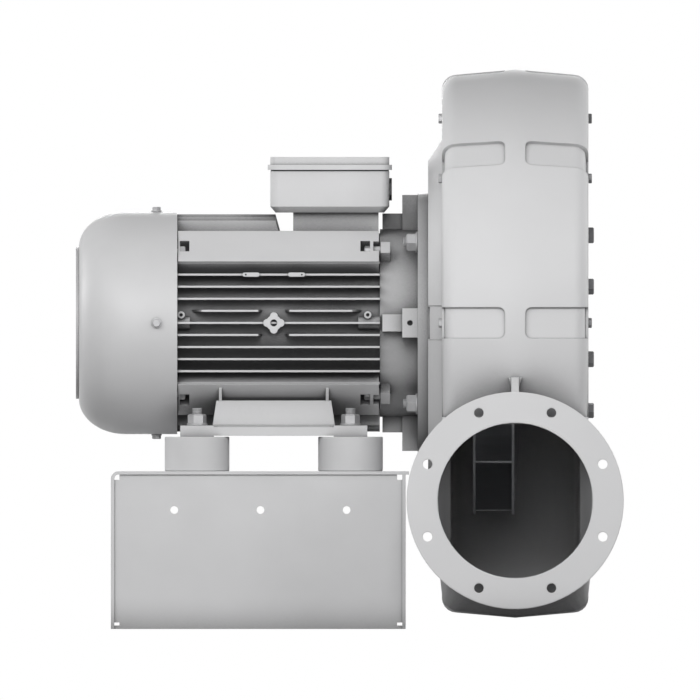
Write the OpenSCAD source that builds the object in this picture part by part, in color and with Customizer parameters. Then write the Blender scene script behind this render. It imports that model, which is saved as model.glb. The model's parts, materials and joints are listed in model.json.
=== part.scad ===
/* [Motor] */
// Height of the shaft above the motor feet
shaft_height = 132; // [120:1:160]
// Outside radius that the cooling fins reach
fin_reach = 126; // [122:0.5:127]
// Outside radius of the stator housing tube
tube_r = 104; // [102:0.5:108]
// Radius of the stator housing bore
tube_bore_r = 97; // [94:0.5:98]
// Length of the finned stator housing
frame_len = 235; // [225:1:250]
// Distance between neighbouring cooling fins
fin_pitch = 14; // [12:0.5:16]
// Thickness of a cooling fin
fin_t = 2.4; // [2:0.1:4]
// Spacing of the foot bolts along the shaft
foot_pitch_x = 178; // [160:1:190]
// Spacing of the foot bolts across the shaft
foot_pitch_y = 216; // [205:1:225]
// Thickness of a foot pad
foot_t = 13; // [10:0.5:16]
// Outside radius of the mounting flange
flange_r = 150; // [146:1:156]
// Thickness of the mounting flange
flange_t = 12; // [10:0.5:14]
// Bolt circle diameter of the mounting flange
flange_pcd = 265; // [255:1:272]
// Radius of the flange register spigot
spigot_r = 115; // [110:0.5:118]
// Radius of the circle that the end shield screws stand on
shield_screw_r = 116; // [112:0.5:118]
// Length of the foot apron between the foot pads at its lower edge
apron_len = 142; // [120:1:150]

/* [Rotor] */
// Radius of the shaft extension that carries the impeller
shaft_r = 19; // [16:0.5:20]
// Length of the shaft extension past the flange face
shaft_ext = 80; // [70:1:84]
// Radius of the rotor core
rotor_r = 61.5; // [56:0.5:64]
// Length of the rotor and stator cores
core_len = 150; // [130:1:160]

/* [Fan cowl] */
// Outside radius of the fan cowl
cowl_r = 129; // [128.5:0.5:134]
// Length of the straight part of the fan cowl
cowl_straight = 60; // [50:1:70]
// Length of the rounded shoulder of the fan cowl
cowl_shoulder = 54; // [40:1:60]
// Radius of the flat inlet end of the fan cowl
cowl_end_r = 88; // [80:1:96]
// Sheet thickness of the fan cowl
cowl_t = 2; // [1.5:0.1:3]

/* [Terminal box] */
// Length of the terminal box
box_len = 138; // [120:1:150]
// Depth of the terminal box across the motor
box_wide = 124; // [110:1:140]
// Height of the terminal box below its lid
box_high = 48; // [40:1:60]
// Wall of the terminal box
box_wall = 4; // [3:0.5:6]
// Height of the domed part of the lid
lid_high = 9; // [6:0.5:14]
// Height of the slanted foot of the terminal box
box_chamfer = 7; // [4:0.5:10]
// Length of the pedestal under the terminal box
pedestal_len = 99; // [90:1:110]
// Width of the pedestal under the terminal box
pedestal_wide = 90; // [70:1:100]

/* [Scroll casing] */
// Width of the scroll casing along the shaft
casing_w = 170; // [160:1:190]
// Reach of the scroll casing straight above the shaft
scroll_top = 294; // [288:1:306]
// How far the scroll opens in each quarter turn
scroll_step = 24; // [20:1:28]
// Wall of the scroll round its rim
rim_wall = 8; // [7:0.5:10]
// Thickness of the scroll side walls
side_wall = 10; // [9:0.5:12]
// Drop of the rim from its middle ridge to its edge
roof_drop = 6; // [4:0.5:8]
// Radius of the rounded rim edge
rim_round = 17; // [12:0.5:20]
// Radius of the round cover on each side of the scroll
cover_r = 246; // [243:0.5:247]
// Radius of the screw circle of the side covers
cover_screw_r = 237; // [234:0.5:239]
// Number of screws in each side cover
cover_screws = 8; // [6:1:10]
// Depth of the shallow pockets in the rim
pocket_depth = 3.5; // [2:0.5:4]
// Width of the web between two rim pockets
pocket_web = 24; // [20:1:34]
// Length of a rim pocket round the scroll
pocket_len = 36; // [28:1:44]
// Height of the raised motor seat above the casing side
seat_h = 16; // [14:0.5:18]

/* [Outlet] */
// Inside diameter of the round outlet
outlet_d = 180; // [170:1:184]
// Outside diameter of the outlet flange
outlet_flange_d = 252; // [246:1:260]
// Bolt circle diameter of the outlet flange
outlet_pcd = 220; // [214:1:226]
// Number of bolt holes in the outlet flange
outlet_holes = 8; // [6:1:12]
// Diameter of the bolt holes in the outlet flange
outlet_hole_d = 11; // [9:0.5:12]
// Thickness of the outlet flange
outlet_flange_t = 12; // [8:0.5:16]
// Distance from the shaft down to the outlet axis
outlet_drop = 206; // [202:0.5:212]
// Distance from the shaft to the outlet flange face
outlet_reach = 322; // [318:1:340]

/* [Inlet] */
// Inside diameter of the inlet opening
inlet_d = 180; // [170:1:184]
// Bolt circle diameter of the inlet guard
inlet_pcd = 220; // [214:1:226]
// Radius of the inlet guard
guard_r = 126; // [122:0.5:130]
// Sheet thickness of the inlet guard
guard_t = 1.5; // [1:0.1:3]

/* [Impeller] */
// Radius of the impeller
impeller_r = 222; // [215:0.5:223]
// Width between the impeller discs at the rim
impeller_w = 42; // [34:1:48]
// Distance from the motor side of the casing to the impeller back disc
impeller_in = 36; // [30:1:40]
// Number of impeller blades
impeller_blades_n = 11; // [7:1:13]
// Sheet thickness of the impeller
impeller_t = 3; // [2:0.5:4]
// Radius of the impeller eye
eye_r = 84; // [78:0.5:86]

/* [Base] */
// Length of the base frame
base_len = 342; // [330:1:360]
// Depth of the base frame
base_wide = 300; // [296:1:330]
// Height of the base frame
base_high = 183; // [160:1:200]
// Sheet thickness of the base frame
base_t = 4; // [3:0.5:5]
// Width of the floor flange under each long panel
floor_flange = 34; // [30:1:45]
// Spacing of the floor anchor holes along the base
anchor_x = 280; // [240:1:300]
// Diameter of the floor anchor holes
anchor_d = 12; // [9:0.5:14]
// Diameter of the rubber buffers
buffer_d = 75; // [60:1:78]
// Height of the rubber buffers
buffer_h = 40; // [30:1:50]
// Outside radius of the bend between the top plate and the left end plate
bend_r = 9; // [6:0.5:14]
// Overhang of the top plate past the right end plate
base_overhang = 4; // [0:0.5:8]
// Diameter of the small holes in the long panels
panel_hole_d = 9; // [6:0.5:12]
// Spacing of the small holes in the long panels
panel_hole_pitch = 100; // [80:1:120]

/* [Hidden] */
$fn = 64;
eps = 0.5;
// Gap between pieces that locate in each other
fit = 0.1;
// Gap between pieces that turn past each other
run = 0.5;

axis_z = base_high + buffer_h + shaft_height;
// Middle of the motor feet along the shaft, seen from the middle of the base
motor_x = 18;
frame_x0 = motor_x - 112;
frame_x1 = frame_x0 + frame_len;
shield_len = 44;
flange_x0 = frame_x1 + shield_len;
flange_x1 = flange_x0 + flange_t;
casing_x0 = flange_x1 + seat_h;
casing_x1 = casing_x0 + casing_w;
casing_mid = (casing_x0 + casing_x1) / 2;

// Radii of the four arcs that make the spiral, from the tongue on
spiral_r = [for (i = [0:3]) scroll_top - 1.5 * scroll_step + i * scroll_step];
spiral_c = [[-0.5, 0.5], [0.5, 0.5], [0.5, -0.5], [-0.5, -0.5]] * scroll_step;
spiral_turn = [270, 180, 90, 0];

// Hexagon across-flats and heights of the metric fasteners
hex_m6 = 10;
head_m6 = 4;
hex_m8 = 13;
hex_m10 = 16;
head_m10 = 6.4;
hex_m12 = 19;
head_m12 = 7.5;
nut_m8 = 6.5;
nut_m12 = 10.8;
washer_m12 = 2.5;
stud_past_nut = 9;

// Bearings, the drive side first: bore radius, outside radius, width and place
bearing_bore_r = 20;
drive_bearing_r = 45;
drive_bearing_w = 23;
drive_bearing_x = frame_x1 + 17;
fan_bearing_r = 40;
fan_bearing_w = 18;
fan_bearing_x = frame_x0 - 18;
race_t = 6;
journal_r = 26;

core_x0 = motor_x - 73;
core_x1 = core_x0 + core_len;
cowl_x0 = frame_x0 - cowl_straight;
cowl_x1 = cowl_x0 - cowl_shoulder;
cowl_lip = 3.5;
cowl_screw_x = frame_x0 - 24;
cooling_fan_x0 = fan_bearing_x - 46;
cooling_fan_w = 36;

ledge_t = side_wall - 4;
opening_r = cover_r - 20;
duct_top = outlet_d / 2 + 7 - outlet_drop;
duct_end = -250;
outlet_face = -outlet_reach;

impeller_x0 = casing_x0 + impeller_in;
impeller_x1 = impeller_x0 + impeller_t + impeller_w;
eye_x = impeller_x1 + 26;
hub_r = 32;
hub_flange_r = 54;
hub_rivet_r = 43;
nozzle_t = 2.5;
guard_x0 = casing_x1 - guard_t;

panel_hole_z = base_high - 45;
anchor_y = base_wide - 40;
corner_pad_r = 126;
corner_pad_w = 50;
// Ear of the frame between the nut and the boss of the end shield, at the drive end
drive_ear_x0 = frame_x1 - 11.5;
drive_ear_x1 = frame_x1 - 7.5;
fan_ear_x1 = frame_x0 + 3;
boss_r = 7;
nut_pocket_r = 9;
nut_pocket_len = 11;
boss_pocket_r = boss_r + 1;
// Where the top fins end before the pedestal, at their foot
top_fin_end = motor_x + 9;
pedestal_x0 = motor_x + 22.5;
gland_z = 27;
gland_y = 26;
gland_r = 10;
lid_screw_in = 7;
lid_head_r = 3.6;
lid_head_sink = 3;
box_x = motor_x + 65;
box_z = axis_z + fin_reach + 2;
gasket_t = 1.5;
lid_lip = 6;

// Puts children on the shaft line, with their +Z along the shaft from x on
module on_shaft(x = 0) {
  translate([x, 0, axis_z]) rotate([0, 90, 0]) children();
}

// Turns a profile of [radius, place along the shaft] points about the shaft
module turned(points) {
  on_shaft() rotate_extrude($fn = 96) polygon(points);
}

// A ring about the shaft
module shaft_ring(x0, x1, r_in, r_out) {
  turned([[r_in, x0], [r_out, x0], [r_out, x1], [r_in, x1]]);
}

// Repeats children round the shaft, the first one at angle start
module round_shaft(count, r, start = 0) {
  for (i = [0:count - 1]) {
    a = start + i * 360 / count;
    translate([0, r * cos(a), axis_z + r * sin(a)]) children();
  }
}

// Repeats children turned round the shaft, with +Y outwards
module turned_round(count, start = 0) {
  for (i = [0:count - 1])
    translate([0, 0, axis_z]) rotate([start + i * 360 / count, 0, 0]) children();
}

// A rod along the shaft direction
module rod(x0, x1, r) {
  translate([x0, 0, 0]) rotate([0, 90, 0]) cylinder(h = x1 - x0, r = r, $fn = 32);
}

// A hexagon head or nut that lies along the shaft direction
module hex(x0, x1, flats) {
  translate([x0, 0, 0]) rotate([0, 90, 0]) cylinder(h = x1 - x0, d = flats / cos(30), $fn = 6);
}

// A hexagon head or nut that stands upright
module hex_up(z0, z1, flats) {
  translate([0, 0, z0]) cylinder(h = z1 - z0, d = flats / cos(30), $fn = 6);
}

function arc(cx, cy, r, a0, a1, n) =
  [for (i = [0:n]) let (a = a0 + (a1 - a0) * i / n) [cx + r * cos(a), cy + r * sin(a)]];

function rounded_rect(w, h, r, n = 4) = concat(
  arc(w / 2 - r, h / 2 - r, r, 0, 90, n), arc(r - w / 2, h / 2 - r, r, 90, 180, n),
  arc(r - w / 2, r - h / 2, r, 180, 270, n), arc(w / 2 - r, r - h / 2, r, 270, 360, n));

// Repeats children at the four foot bolts
module at_feet() {
  for (sx = [-1, 1], sy = [-1, 1])
    translate([motor_x + sx * foot_pitch_x / 2, sy * foot_pitch_y / 2, 0]) children();
}

// Base

module base_top_plate() {
  color("lightgray") difference() {
    translate([bend_r - base_len / 2, -base_wide / 2, base_high - base_t])
      cube([base_len - bend_r + base_overhang, base_wide, base_t]);
    at_feet() translate([0, 0, base_high - base_t - eps]) cylinder(h = base_t + 2 * eps, d = 13);
  }
}

// The left end plate folds over into the top plate, and the right one stands under it
module base_end_plates() {
  color("lightgray") {
    translate([-base_len / 2, -base_wide / 2, 0]) cube([base_t, base_wide, base_high - bend_r]);
    translate([bend_r - base_len / 2, base_wide / 2, base_high - bend_r]) rotate([90, 0, 0])
      rotate([0, 0, 90]) rotate_extrude(angle = 90, $fn = 64)
        translate([bend_r - base_t, 0]) square([base_t, base_wide]);
    translate([base_len / 2 - base_t, -base_wide / 2, 0]) cube([base_t, base_wide, base_high - base_t]);
  }
}

// One long panel with its floor flange, at the side that faces y = -base_wide / 2
module long_panel() {
  inset = 2;
  notch = 6;
  w = base_len - 2 * base_t;
  h = base_high - base_t;
  y0 = inset - base_wide / 2;
  difference() {
    union() {
      translate([-w / 2, y0, 0]) cube([w, base_t, h]);
      translate([-w / 2, y0, 0]) cube([w, floor_flange, base_t]);
    }
    for (i = [-1:1])
      translate([2.5 + i * panel_hole_pitch, y0 - eps, panel_hole_z])
        rotate([-90, 0, 0]) cylinder(h = base_t + 2 * eps, d = panel_hole_d, $fn = 32);
    for (s = [-1, 1]) {
      translate([s * w / 2 - notch, y0 - eps, h - notch]) cube([2 * notch, base_t + 2 * eps, 2 * notch]);
      translate([s * w / 2 - notch, y0 - eps, base_t - eps]) cube([2 * notch, base_t + 2 * eps, 4]);
      translate([s * anchor_x / 2, -anchor_y / 2, -eps]) cylinder(h = base_t + 2 * eps, d = anchor_d, $fn = 32);
    }
  }
}

module base_front_panel() {
  color("lightgray") long_panel();
}

module base_rear_panel() {
  color("lightgray") mirror([0, 1, 0]) long_panel();
}

module rubber_buffers() {
  color("silver") at_feet() translate([0, 0, base_high]) cylinder(h = buffer_h, d = buffer_d);
}

// Threaded ends of the buffers, one up through the foot and one down through the plate
module buffer_studs() {
  foot_z = base_high + buffer_h;
  color("gainsboro") at_feet() {
    translate([0, 0, foot_z]) cylinder(h = foot_t + washer_m12 + nut_m12 + stud_past_nut, d = 12, $fn = 32);
    translate([0, 0, base_high - 24]) cylinder(h = 24, d = 12, $fn = 32);
  }
}

module foot_washers() {
  z = base_high + buffer_h + foot_t;
  color("gainsboro") at_feet() difference() {
    translate([0, 0, z]) cylinder(h = washer_m12, d = 24, $fn = 32);
    translate([0, 0, z - eps]) cylinder(h = washer_m12 + 2 * eps, d = 12 + 2 * fit, $fn = 32);
  }
}

module foot_nuts() {
  z = base_high + buffer_h + foot_t + washer_m12;
  color("gainsboro") at_feet() difference() {
    hex_up(z, z + nut_m12, hex_m12);
    translate([0, 0, z - eps]) cylinder(h = nut_m12 + 2 * eps, d = 12 + 2 * fit, $fn = 32);
  }
}

module buffer_base_nuts() {
  z = base_high - base_t - nut_m12;
  color("gainsboro") at_feet() difference() {
    hex_up(z, z + nut_m12, hex_m12);
    translate([0, 0, z - eps]) cylinder(h = nut_m12 + 2 * eps, d = 12 + 2 * fit, $fn = 32);
  }
}

// Motor

// One upright fin from the housing wall to the fin circle, with ends that slant by in0 and in1
module fin(offset_y, x0, x1, in0 = 0, in1 = 0) {
  reach = sqrt(fin_reach * fin_reach - offset_y * offset_y);
  root = sqrt(tube_r * tube_r - offset_y * offset_y) - 3;
  translate([0, offset_y + fin_t / 2, 0]) rotate([90, 0, 0]) linear_extrude(fin_t)
    polygon([[x0, root], [x1, root], [x1 - in1, reach], [x0 + in0, reach]]);
}

// Fins on one side, whose middle rows leave room for the lifting boss
module side_fins() {
  boss_gap = 18;
  lean = 5;
  for (i = [-5:5])
    if (i == 1) {
      fin(i * fin_pitch, frame_x0 + 16, motor_x - boss_gap + lean, 12, lean);
      fin(i * fin_pitch, motor_x + boss_gap - lean, frame_x1 - 20, lean, 12);
    } else if (i == -1) {
      fin(i * fin_pitch, frame_x0, motor_x - boss_gap + lean, 0, lean);
      fin(i * fin_pitch, motor_x + boss_gap - lean, frame_x1, lean, 0);
    } else fin(i * fin_pitch, frame_x0, frame_x1);
}

// Lobed lifting boss in the middle of a side, with its tapped hole
module lifting_boss() {
  lobe_r = 4.6;
  difference() {
    translate([0, 0, tube_bore_r + 2]) linear_extrude(fin_reach - tube_bore_r) {
      circle(r = 9, $fn = 48);
      for (q = [0:90:270]) rotate(q) translate([12.4 - lobe_r, 0]) circle(r = lobe_r, $fn = 32);
    }
    translate([0, 0, fin_reach - 12]) cylinder(h = 18, r = 4, $fn = 32);
  }
}

// Boss for an earth screw at each end of a side, beside the fin at shaft height
module earth_bosses() {
  boss_y = tube_r + 6;
  for (x = [[frame_x0, frame_x0 + 14.5, frame_x0 + 4.5], [frame_x1 - 25, frame_x1, frame_x1 - 14]]) {
    translate([0, boss_y, 0]) rod(x[0], x[1], 8);
    translate([x[2], tube_r - 3, 9.3]) rotate([-90, 0, 0]) difference() {
      cylinder(h = 20, r = 4.3, $fn = 32);
      translate([0, 0, 12]) cylinder(h = 9, r = 2, $fn = 24);
    }
  }
}

// Pockets round the shield screws that are open to the outside
module open_pockets(x0, x1, r) {
  half = r - 0.4;
  round_shaft(4, shield_screw_r, 45) rod(x0, x1, r);
  turned_round(4, 45) translate([x0, shield_screw_r + 1, -half])
    cube([x1 - x0, corner_pad_r - shield_screw_r, 2 * half]);
}

module motor_frame() {
  color("darkgray") difference() {
    union() {
      shaft_ring(frame_x0, frame_x1, tube_bore_r - 1, tube_r);
      translate([0, 0, axis_z]) {
        rotate([90, 0, 0]) side_fins();
        rotate([90, 0, 0]) mirror([0, 0, 1]) side_fins();
        for (j = [-3:3]) {
          fin(j * fin_pitch, frame_x0, top_fin_end, 0, 7);
          mirror([0, 0, 1]) fin(j * fin_pitch, frame_x0, frame_x1);
        }
        // Flat corner pads that the end shield screws run beside
        for (a = [45:90:315]) rotate([a, 0, 0])
          translate([frame_x0 + 1, tube_bore_r + 2, -corner_pad_w / 2])
            cube([frame_len - 2, corner_pad_r - tube_bore_r - 2, corner_pad_w]);
        for (s = [-1, 1]) translate([motor_x, 0, 0]) rotate([-90 * s, 0, 0]) lifting_boss();
        earth_bosses();
        mirror([0, 1, 0]) earth_bosses();
        // Pedestal of the terminal box
        translate([pedestal_x0, -pedestal_wide / 2, tube_bore_r])
          cube([pedestal_len, pedestal_wide, fin_reach + 2 - tube_bore_r]);
      }
    }
    on_shaft(frame_x0 - eps) cylinder(h = frame_len + 2 * eps, r = tube_bore_r, $fn = 96);
    translate([pedestal_x0 + pedestal_len / 2, 0, axis_z + tube_bore_r - 5])
      cylinder(h = fin_reach - tube_bore_r + 10, r = 22, $fn = 32);
    // Open pockets for the nuts, and room for the bosses of the drive end shield
    open_pockets(drive_ear_x0 - nut_pocket_len, drive_ear_x0, nut_pocket_r);
    open_pockets(drive_ear_x1, frame_x1 + eps, boss_pocket_r);
    open_pockets(fan_ear_x1, fan_ear_x1 + nut_pocket_len, nut_pocket_r);
    round_shaft(4, shield_screw_r, 45) {
      rod(drive_ear_x0 - eps, drive_ear_x1 + eps, 4 + fit);
      rod(frame_x0 - eps, fan_ear_x1 + eps, 4 + fit);
    }
  }
}

// Section of a foot, as points of [distance from the shaft line, height below the shaft]
foot_in = 66;
foot_top = 90;
pad_face = corner_pad_r * sqrt(2) + 0.1;
pad_side = corner_pad_w / sqrt(2) + 0.1;
foot_section = [
  [foot_in, -shaft_height], [foot_in, -foot_in - pad_side],
  [(pad_face - pad_side) / 2, -(pad_face + pad_side) / 2], [pad_face - foot_top, -foot_top], [97, -foot_top],
  [112, foot_t - shaft_height + 1], [128, foot_t - shaft_height - 2], [128, -shaft_height]
];

module foot() {
  pad_w = 39;
  lift = 1.2;
  rib_t = 3.5;
  difference() {
    translate([motor_x, 0, axis_z]) {
      // Apron, a little shorter at its upper edge
      intersection() {
        rotate([90, 0, 90]) mirror([0, 0, 1]) translate([0, 0, -apron_len / 2]) linear_extrude(apron_len)
          polygon(foot_section);
        rotate([90, 0, 0]) mirror([0, 0, 1]) linear_extrude(foot_pitch_y)
          polygon([[-apron_len / 2, lift - shaft_height], [apron_len / 2, lift - shaft_height],
            [apron_len / 2, foot_t - shaft_height], [apron_len / 2 - 4.7, 2 - foot_top],
            [4.7 - apron_len / 2, 2 - foot_top],
            [-apron_len / 2, foot_t - shaft_height]]);
      }
      for (s = [-1, 1]) {
        pad_x = s * foot_pitch_x / 2 - pad_w / 2;
        translate([pad_x, foot_pitch_y / 2 - 20, -shaft_height]) cube([pad_w, 40, foot_t]);
        translate([pad_x + (s < 0 ? pad_w - 3 : -3), foot_pitch_y / 2 - 20, lift - shaft_height])
          cube([6, 38, foot_t - lift]);
        // Rib between the apron and the corner pad of the frame
        translate([s * 62 - rib_t / 2, 0, 0]) rotate([90, 0, 90]) linear_extrude(rib_t)
          polygon([[pad_face - foot_top, -foot_top], [pad_face - foot_top, -foot_top - 2],
            [97, -foot_top - 2], [pad_face - foot_top + 15, 15 - foot_top]]);
      }
    }
    for (s = [-1, 1])
      translate([motor_x + s * foot_pitch_x / 2, foot_pitch_y / 2, axis_z - shaft_height - eps])
        cylinder(h = foot_t + 2 * eps, d = 12.4, $fn = 32);
    translate([motor_x - foot_pitch_x / 2 + pad_w, 76, axis_z - shaft_height - eps])
      cube([foot_pitch_x - 2 * pad_w, 26, 24]);
  }
}

module motor_feet() {
  color("lightgray") {
    foot();
    mirror([0, 1, 0]) foot();
  }
}

module drive_end_shield() {
  body_r = 109;
  rib_w = 20;
  rib_r = 127;
  lug_w = 34;
  lug_x = flange_x0 - 18;
  spigot_h = 4;
  seat_x = drive_bearing_x + drive_bearing_w;
  color("darkgray") difference() {
    union() {
      turned([
        [bearing_bore_r + 12, flange_x1 - 4], [60, flange_x1 - 4], [60, flange_x0], [spigot_r - 10, flange_x0],
        [spigot_r - 10, flange_x1 + spigot_h], [spigot_r, flange_x1 + spigot_h], [spigot_r, flange_x1],
        [flange_r, flange_x1], [flange_r, flange_x0], [body_r, flange_x0], [body_r, frame_x1],
        [tube_bore_r - fit, frame_x1], [tube_bore_r - fit, frame_x1 - 6], [tube_bore_r - 7, frame_x1 - 6],
        [tube_bore_r - 7, flange_x0 - 26], [84, flange_x0 - 10], [drive_bearing_r + 11, flange_x0 - 10],
        [drive_bearing_r + 11, drive_bearing_x], [drive_bearing_r + fit, drive_bearing_x],
        [drive_bearing_r + fit, seat_x], [bearing_bore_r + 12, seat_x]
      ]);
      turned_round(4) {
        translate([frame_x1 + 3, body_r - 3, -rib_w / 2]) cube([lug_x - frame_x1 - 3, rib_r - body_r + 3, rib_w]);
        translate([lug_x, body_r - 3, -lug_w / 2]) cube([flange_x0 - lug_x + 1, flange_r - body_r + 1.5, lug_w]);
      }
      turned_round(4, 45) translate([frame_x1 + 1, body_r - 6, -9]) cube([11, shield_screw_r - body_r + 14, 18]);
      round_shaft(4, shield_screw_r, 45) rod(drive_ear_x1 + fit, frame_x1 + 2, boss_r);
    }
    round_shaft(4, flange_pcd / 2, 45) rod(flange_x0 - eps, flange_x1 + eps, 6.2);
    round_shaft(4, shield_screw_r, 45) rod(drive_ear_x1, frame_x1 + 10, 4 + fit);
    turned_round(4) translate([lug_x + 9, flange_r - 14, 0]) rotate([-90, 0, 0])
      cylinder(h = 16, r = 3.2, $fn = 32);
  }
}

// Screwed from the fan side, through the ears of the frame
module drive_shield_screws() {
  color("gainsboro") round_shaft(4, shield_screw_r, 45) {
    hex(drive_ear_x0 - nut_m8, drive_ear_x0, hex_m8);
    rod(drive_ear_x0 - eps, frame_x1 + 8, 4);
  }
}

module fan_end_shield() {
  seat_x = fan_bearing_x;
  rim_r = cowl_r - cowl_t - fit;
  color("darkgray") difference() {
    union() {
      turned([
        [bearing_bore_r + 10, seat_x - 5], [fan_bearing_r + 10, seat_x - 5], [fan_bearing_r + 10, seat_x + 6],
        [86, seat_x + 8], [105, frame_x0 - 12], [123, frame_x0 - 9], [123, frame_x0],
        [tube_bore_r - fit, frame_x0],
        [tube_bore_r - fit, frame_x0 + 6], [tube_bore_r - 7, frame_x0 + 6], [tube_bore_r - 7, frame_x0 - 2],
        [fan_bearing_r + 10, frame_x0 - 2], [fan_bearing_r + 10, frame_x0], [fan_bearing_r + fit, frame_x0],
        [fan_bearing_r + fit, seat_x], [bearing_bore_r + 10, seat_x]
      ]);
      turned_round(4) translate([frame_x0 - 32, rim_r - 14, -9]) cube([32, 14 - 0.4, 18]);
    }
    round_shaft(4, shield_screw_r, 45) rod(frame_x0 - 24, frame_x0 + eps, 4 + fit);
    turned_round(4) translate([cowl_screw_x, rim_r - 12, 0]) rotate([-90, 0, 0])
      cylinder(h = 14, r = 3 + fit, $fn = 32);
  }
}

module fan_shield_screws() {
  color("gainsboro") round_shaft(4, shield_screw_r, 45) {
    rod(frame_x0 - 15, fan_ear_x1 + eps, 4);
    hex(fan_ear_x1, fan_ear_x1 + nut_m8, hex_m8);
  }
}

module stator_core() {
  color("dimgray") shaft_ring(core_x0, core_x1, rotor_r + run, tube_bore_r - fit);
}

module stator_windings() {
  overhang = 24;
  color("peru") for (x = [core_x0 - overhang, core_x1])
    turned([
      [rotor_r + 8, x], [rotor_r + 24, x], [rotor_r + 28, x + overhang / 2],
      [rotor_r + 24, x + overhang], [rotor_r + 8, x + overhang]
    ]);
}

// Outline of the cowl wall, from the open edge to the inlet end
function cowl_curve(inside) =
  let (a = cowl_shoulder - inside, b = cowl_r - cowl_end_r)
  [for (i = [0:8]) let (t = i * 90 / 8) [cowl_end_r - inside + b * cos(t), cowl_x0 - a * sin(t)]];

module fan_cowl() {
  rings = 7;
  ring_pitch = 11;
  slot = 6.5;
  spoke_w = 5;
  hub = 12;
  color("gainsboro") difference() {
    turned(concat(
      [[cowl_r - cowl_t, frame_x0], [cowl_r, frame_x0]], cowl_curve(0),
      [[cowl_end_r, cowl_x1 - cowl_lip], [0, cowl_x1 - cowl_lip], [0, cowl_x1 - cowl_lip + cowl_t]],
      [for (i = [8:-1:0]) cowl_curve(cowl_t)[i]]));
    difference() {
      for (i = [0:rings - 1])
        shaft_ring(cowl_x1 - cowl_lip - eps, cowl_x1 - cowl_lip + cowl_t + eps,
          hub + i * ring_pitch - slot / 2, hub + i * ring_pitch + slot / 2);
      turned_round(8) translate([cowl_x1 - cowl_lip - 1, 0, -spoke_w / 2]) cube([cowl_t + 2, cowl_end_r, spoke_w]);
    }
    turned_round(4) translate([cowl_screw_x, cowl_r - 6, 0]) rotate([-90, 0, 0])
      cylinder(h = 12, r = 3.2, $fn = 32);
  }
}

module cowl_screws() {
  color("gainsboro") turned_round(4) {
    translate([cowl_screw_x, cowl_r, 0]) rotate([-90, 0, 0]) {
      cylinder(h = 1.6, r = 6, $fn = 32);
      cylinder(h = 1.6 + head_m6, d = hex_m6 / cos(30), $fn = 6);
      translate([0, 0, -11]) cylinder(h = 12, r = 3, $fn = 32);
    }
  }
}

// Two small drilled pads that a nameplate would sit on, on the third fin
module nameplate_pads() {
  pad_z = 4 * fin_pitch;
  pad_y = sqrt(fin_reach * fin_reach - pad_z * pad_z);
  color("gainsboro") for (s = [-1, 1])
    translate([motor_x + s * 26.5, -pad_y, axis_z + pad_z]) rotate([90, 0, 0]) difference() {
      linear_extrude(2) polygon(rounded_rect(20, 5, 2.4));
      translate([6 * s, 0, -eps]) cylinder(h = 4, r = 1, $fn = 24);
    }
}

// Terminal box

module terminal_box() {
  round_r = 10;
  slant = 6;
  inner_len = box_len - 2 * (slant + box_wall);
  inner_wide = box_wide - 2 * (slant + box_wall);
  color("lightgray") difference() {
    union() {
      // The foot slants in all round
      hull() {
        translate([box_x, 0, box_z]) linear_extrude(0.5)
          polygon(rounded_rect(box_len - 2 * slant, box_wide - 2 * slant, round_r - 3));
        translate([box_x, 0, box_z + box_chamfer]) linear_extrude(2)
          polygon(rounded_rect(box_len, box_wide, round_r));
      }
      translate([box_x, 0, box_z + box_chamfer + 1]) linear_extrude(box_high - box_chamfer - 1)
        polygon(rounded_rect(box_len, box_wide, round_r));
    }
    translate([box_x, 0, box_z + box_wall]) linear_extrude(box_high)
      polygon(rounded_rect(inner_len, inner_wide, 4));
    translate([pedestal_x0 + pedestal_len / 2, 0, box_z - eps]) cylinder(h = box_wall + 2 * eps, r = 20, $fn = 32);
    for (s = [-1, 1])
      translate([box_x + inner_len / 2 - eps, s * gland_y, box_z + gland_z]) rotate([0, 90, 0])
        cylinder(h = box_len, r = gland_r, $fn = 32);
    at_lid_screws() translate([0, 0, box_z + box_high - 12]) cylinder(h = 12 + eps, r = 2 + fit, $fn = 24);
  }
}

module at_lid_screws() {
  for (sx = [-1, 1], sy = [-1, 1])
    translate([box_x + sx * (box_len / 2 - lid_screw_in), sy * (box_wide / 2 - lid_screw_in), 0]) children();
}

module terminal_gasket() {
  color("dimgray") difference() {
    translate([box_x, 0, box_z + box_high]) linear_extrude(gasket_t)
      polygon(rounded_rect(box_len - 1, box_wide - 1, 9));
    translate([box_x, 0, box_z + box_high - eps]) linear_extrude(gasket_t + 2 * eps)
      polygon(rounded_rect(box_len - 20, box_wide - 20, 4));
    at_lid_screws() translate([0, 0, box_z + box_high - eps]) cylinder(h = gasket_t + 2 * eps, r = 2.2, $fn = 24);
  }
}

module terminal_lid() {
  z = box_z + box_high + gasket_t;
  color("lightgray") difference() {
    union() {
      translate([box_x, 0, z]) linear_extrude(lid_lip) polygon(rounded_rect(box_len + 6, box_wide + 6, 13));
      translate([box_x, 0, z + lid_lip]) linear_extrude(lid_high) polygon(rounded_rect(box_len, box_wide, 10));
    }
    translate([box_x, 0, z - eps]) linear_extrude(lid_lip + lid_high - 3)
      polygon(rounded_rect(box_len - 20, box_wide - 20, 5));
    at_lid_screws() {
      translate([0, 0, z - eps]) cylinder(h = lid_lip + lid_high + 2 * eps, r = 2.2, $fn = 24);
      translate([0, 0, z + lid_lip + lid_high - lid_head_sink])
        cylinder(h = lid_head_sink + eps, r = lid_head_r + fit, $fn = 32);
    }
  }
}

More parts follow.
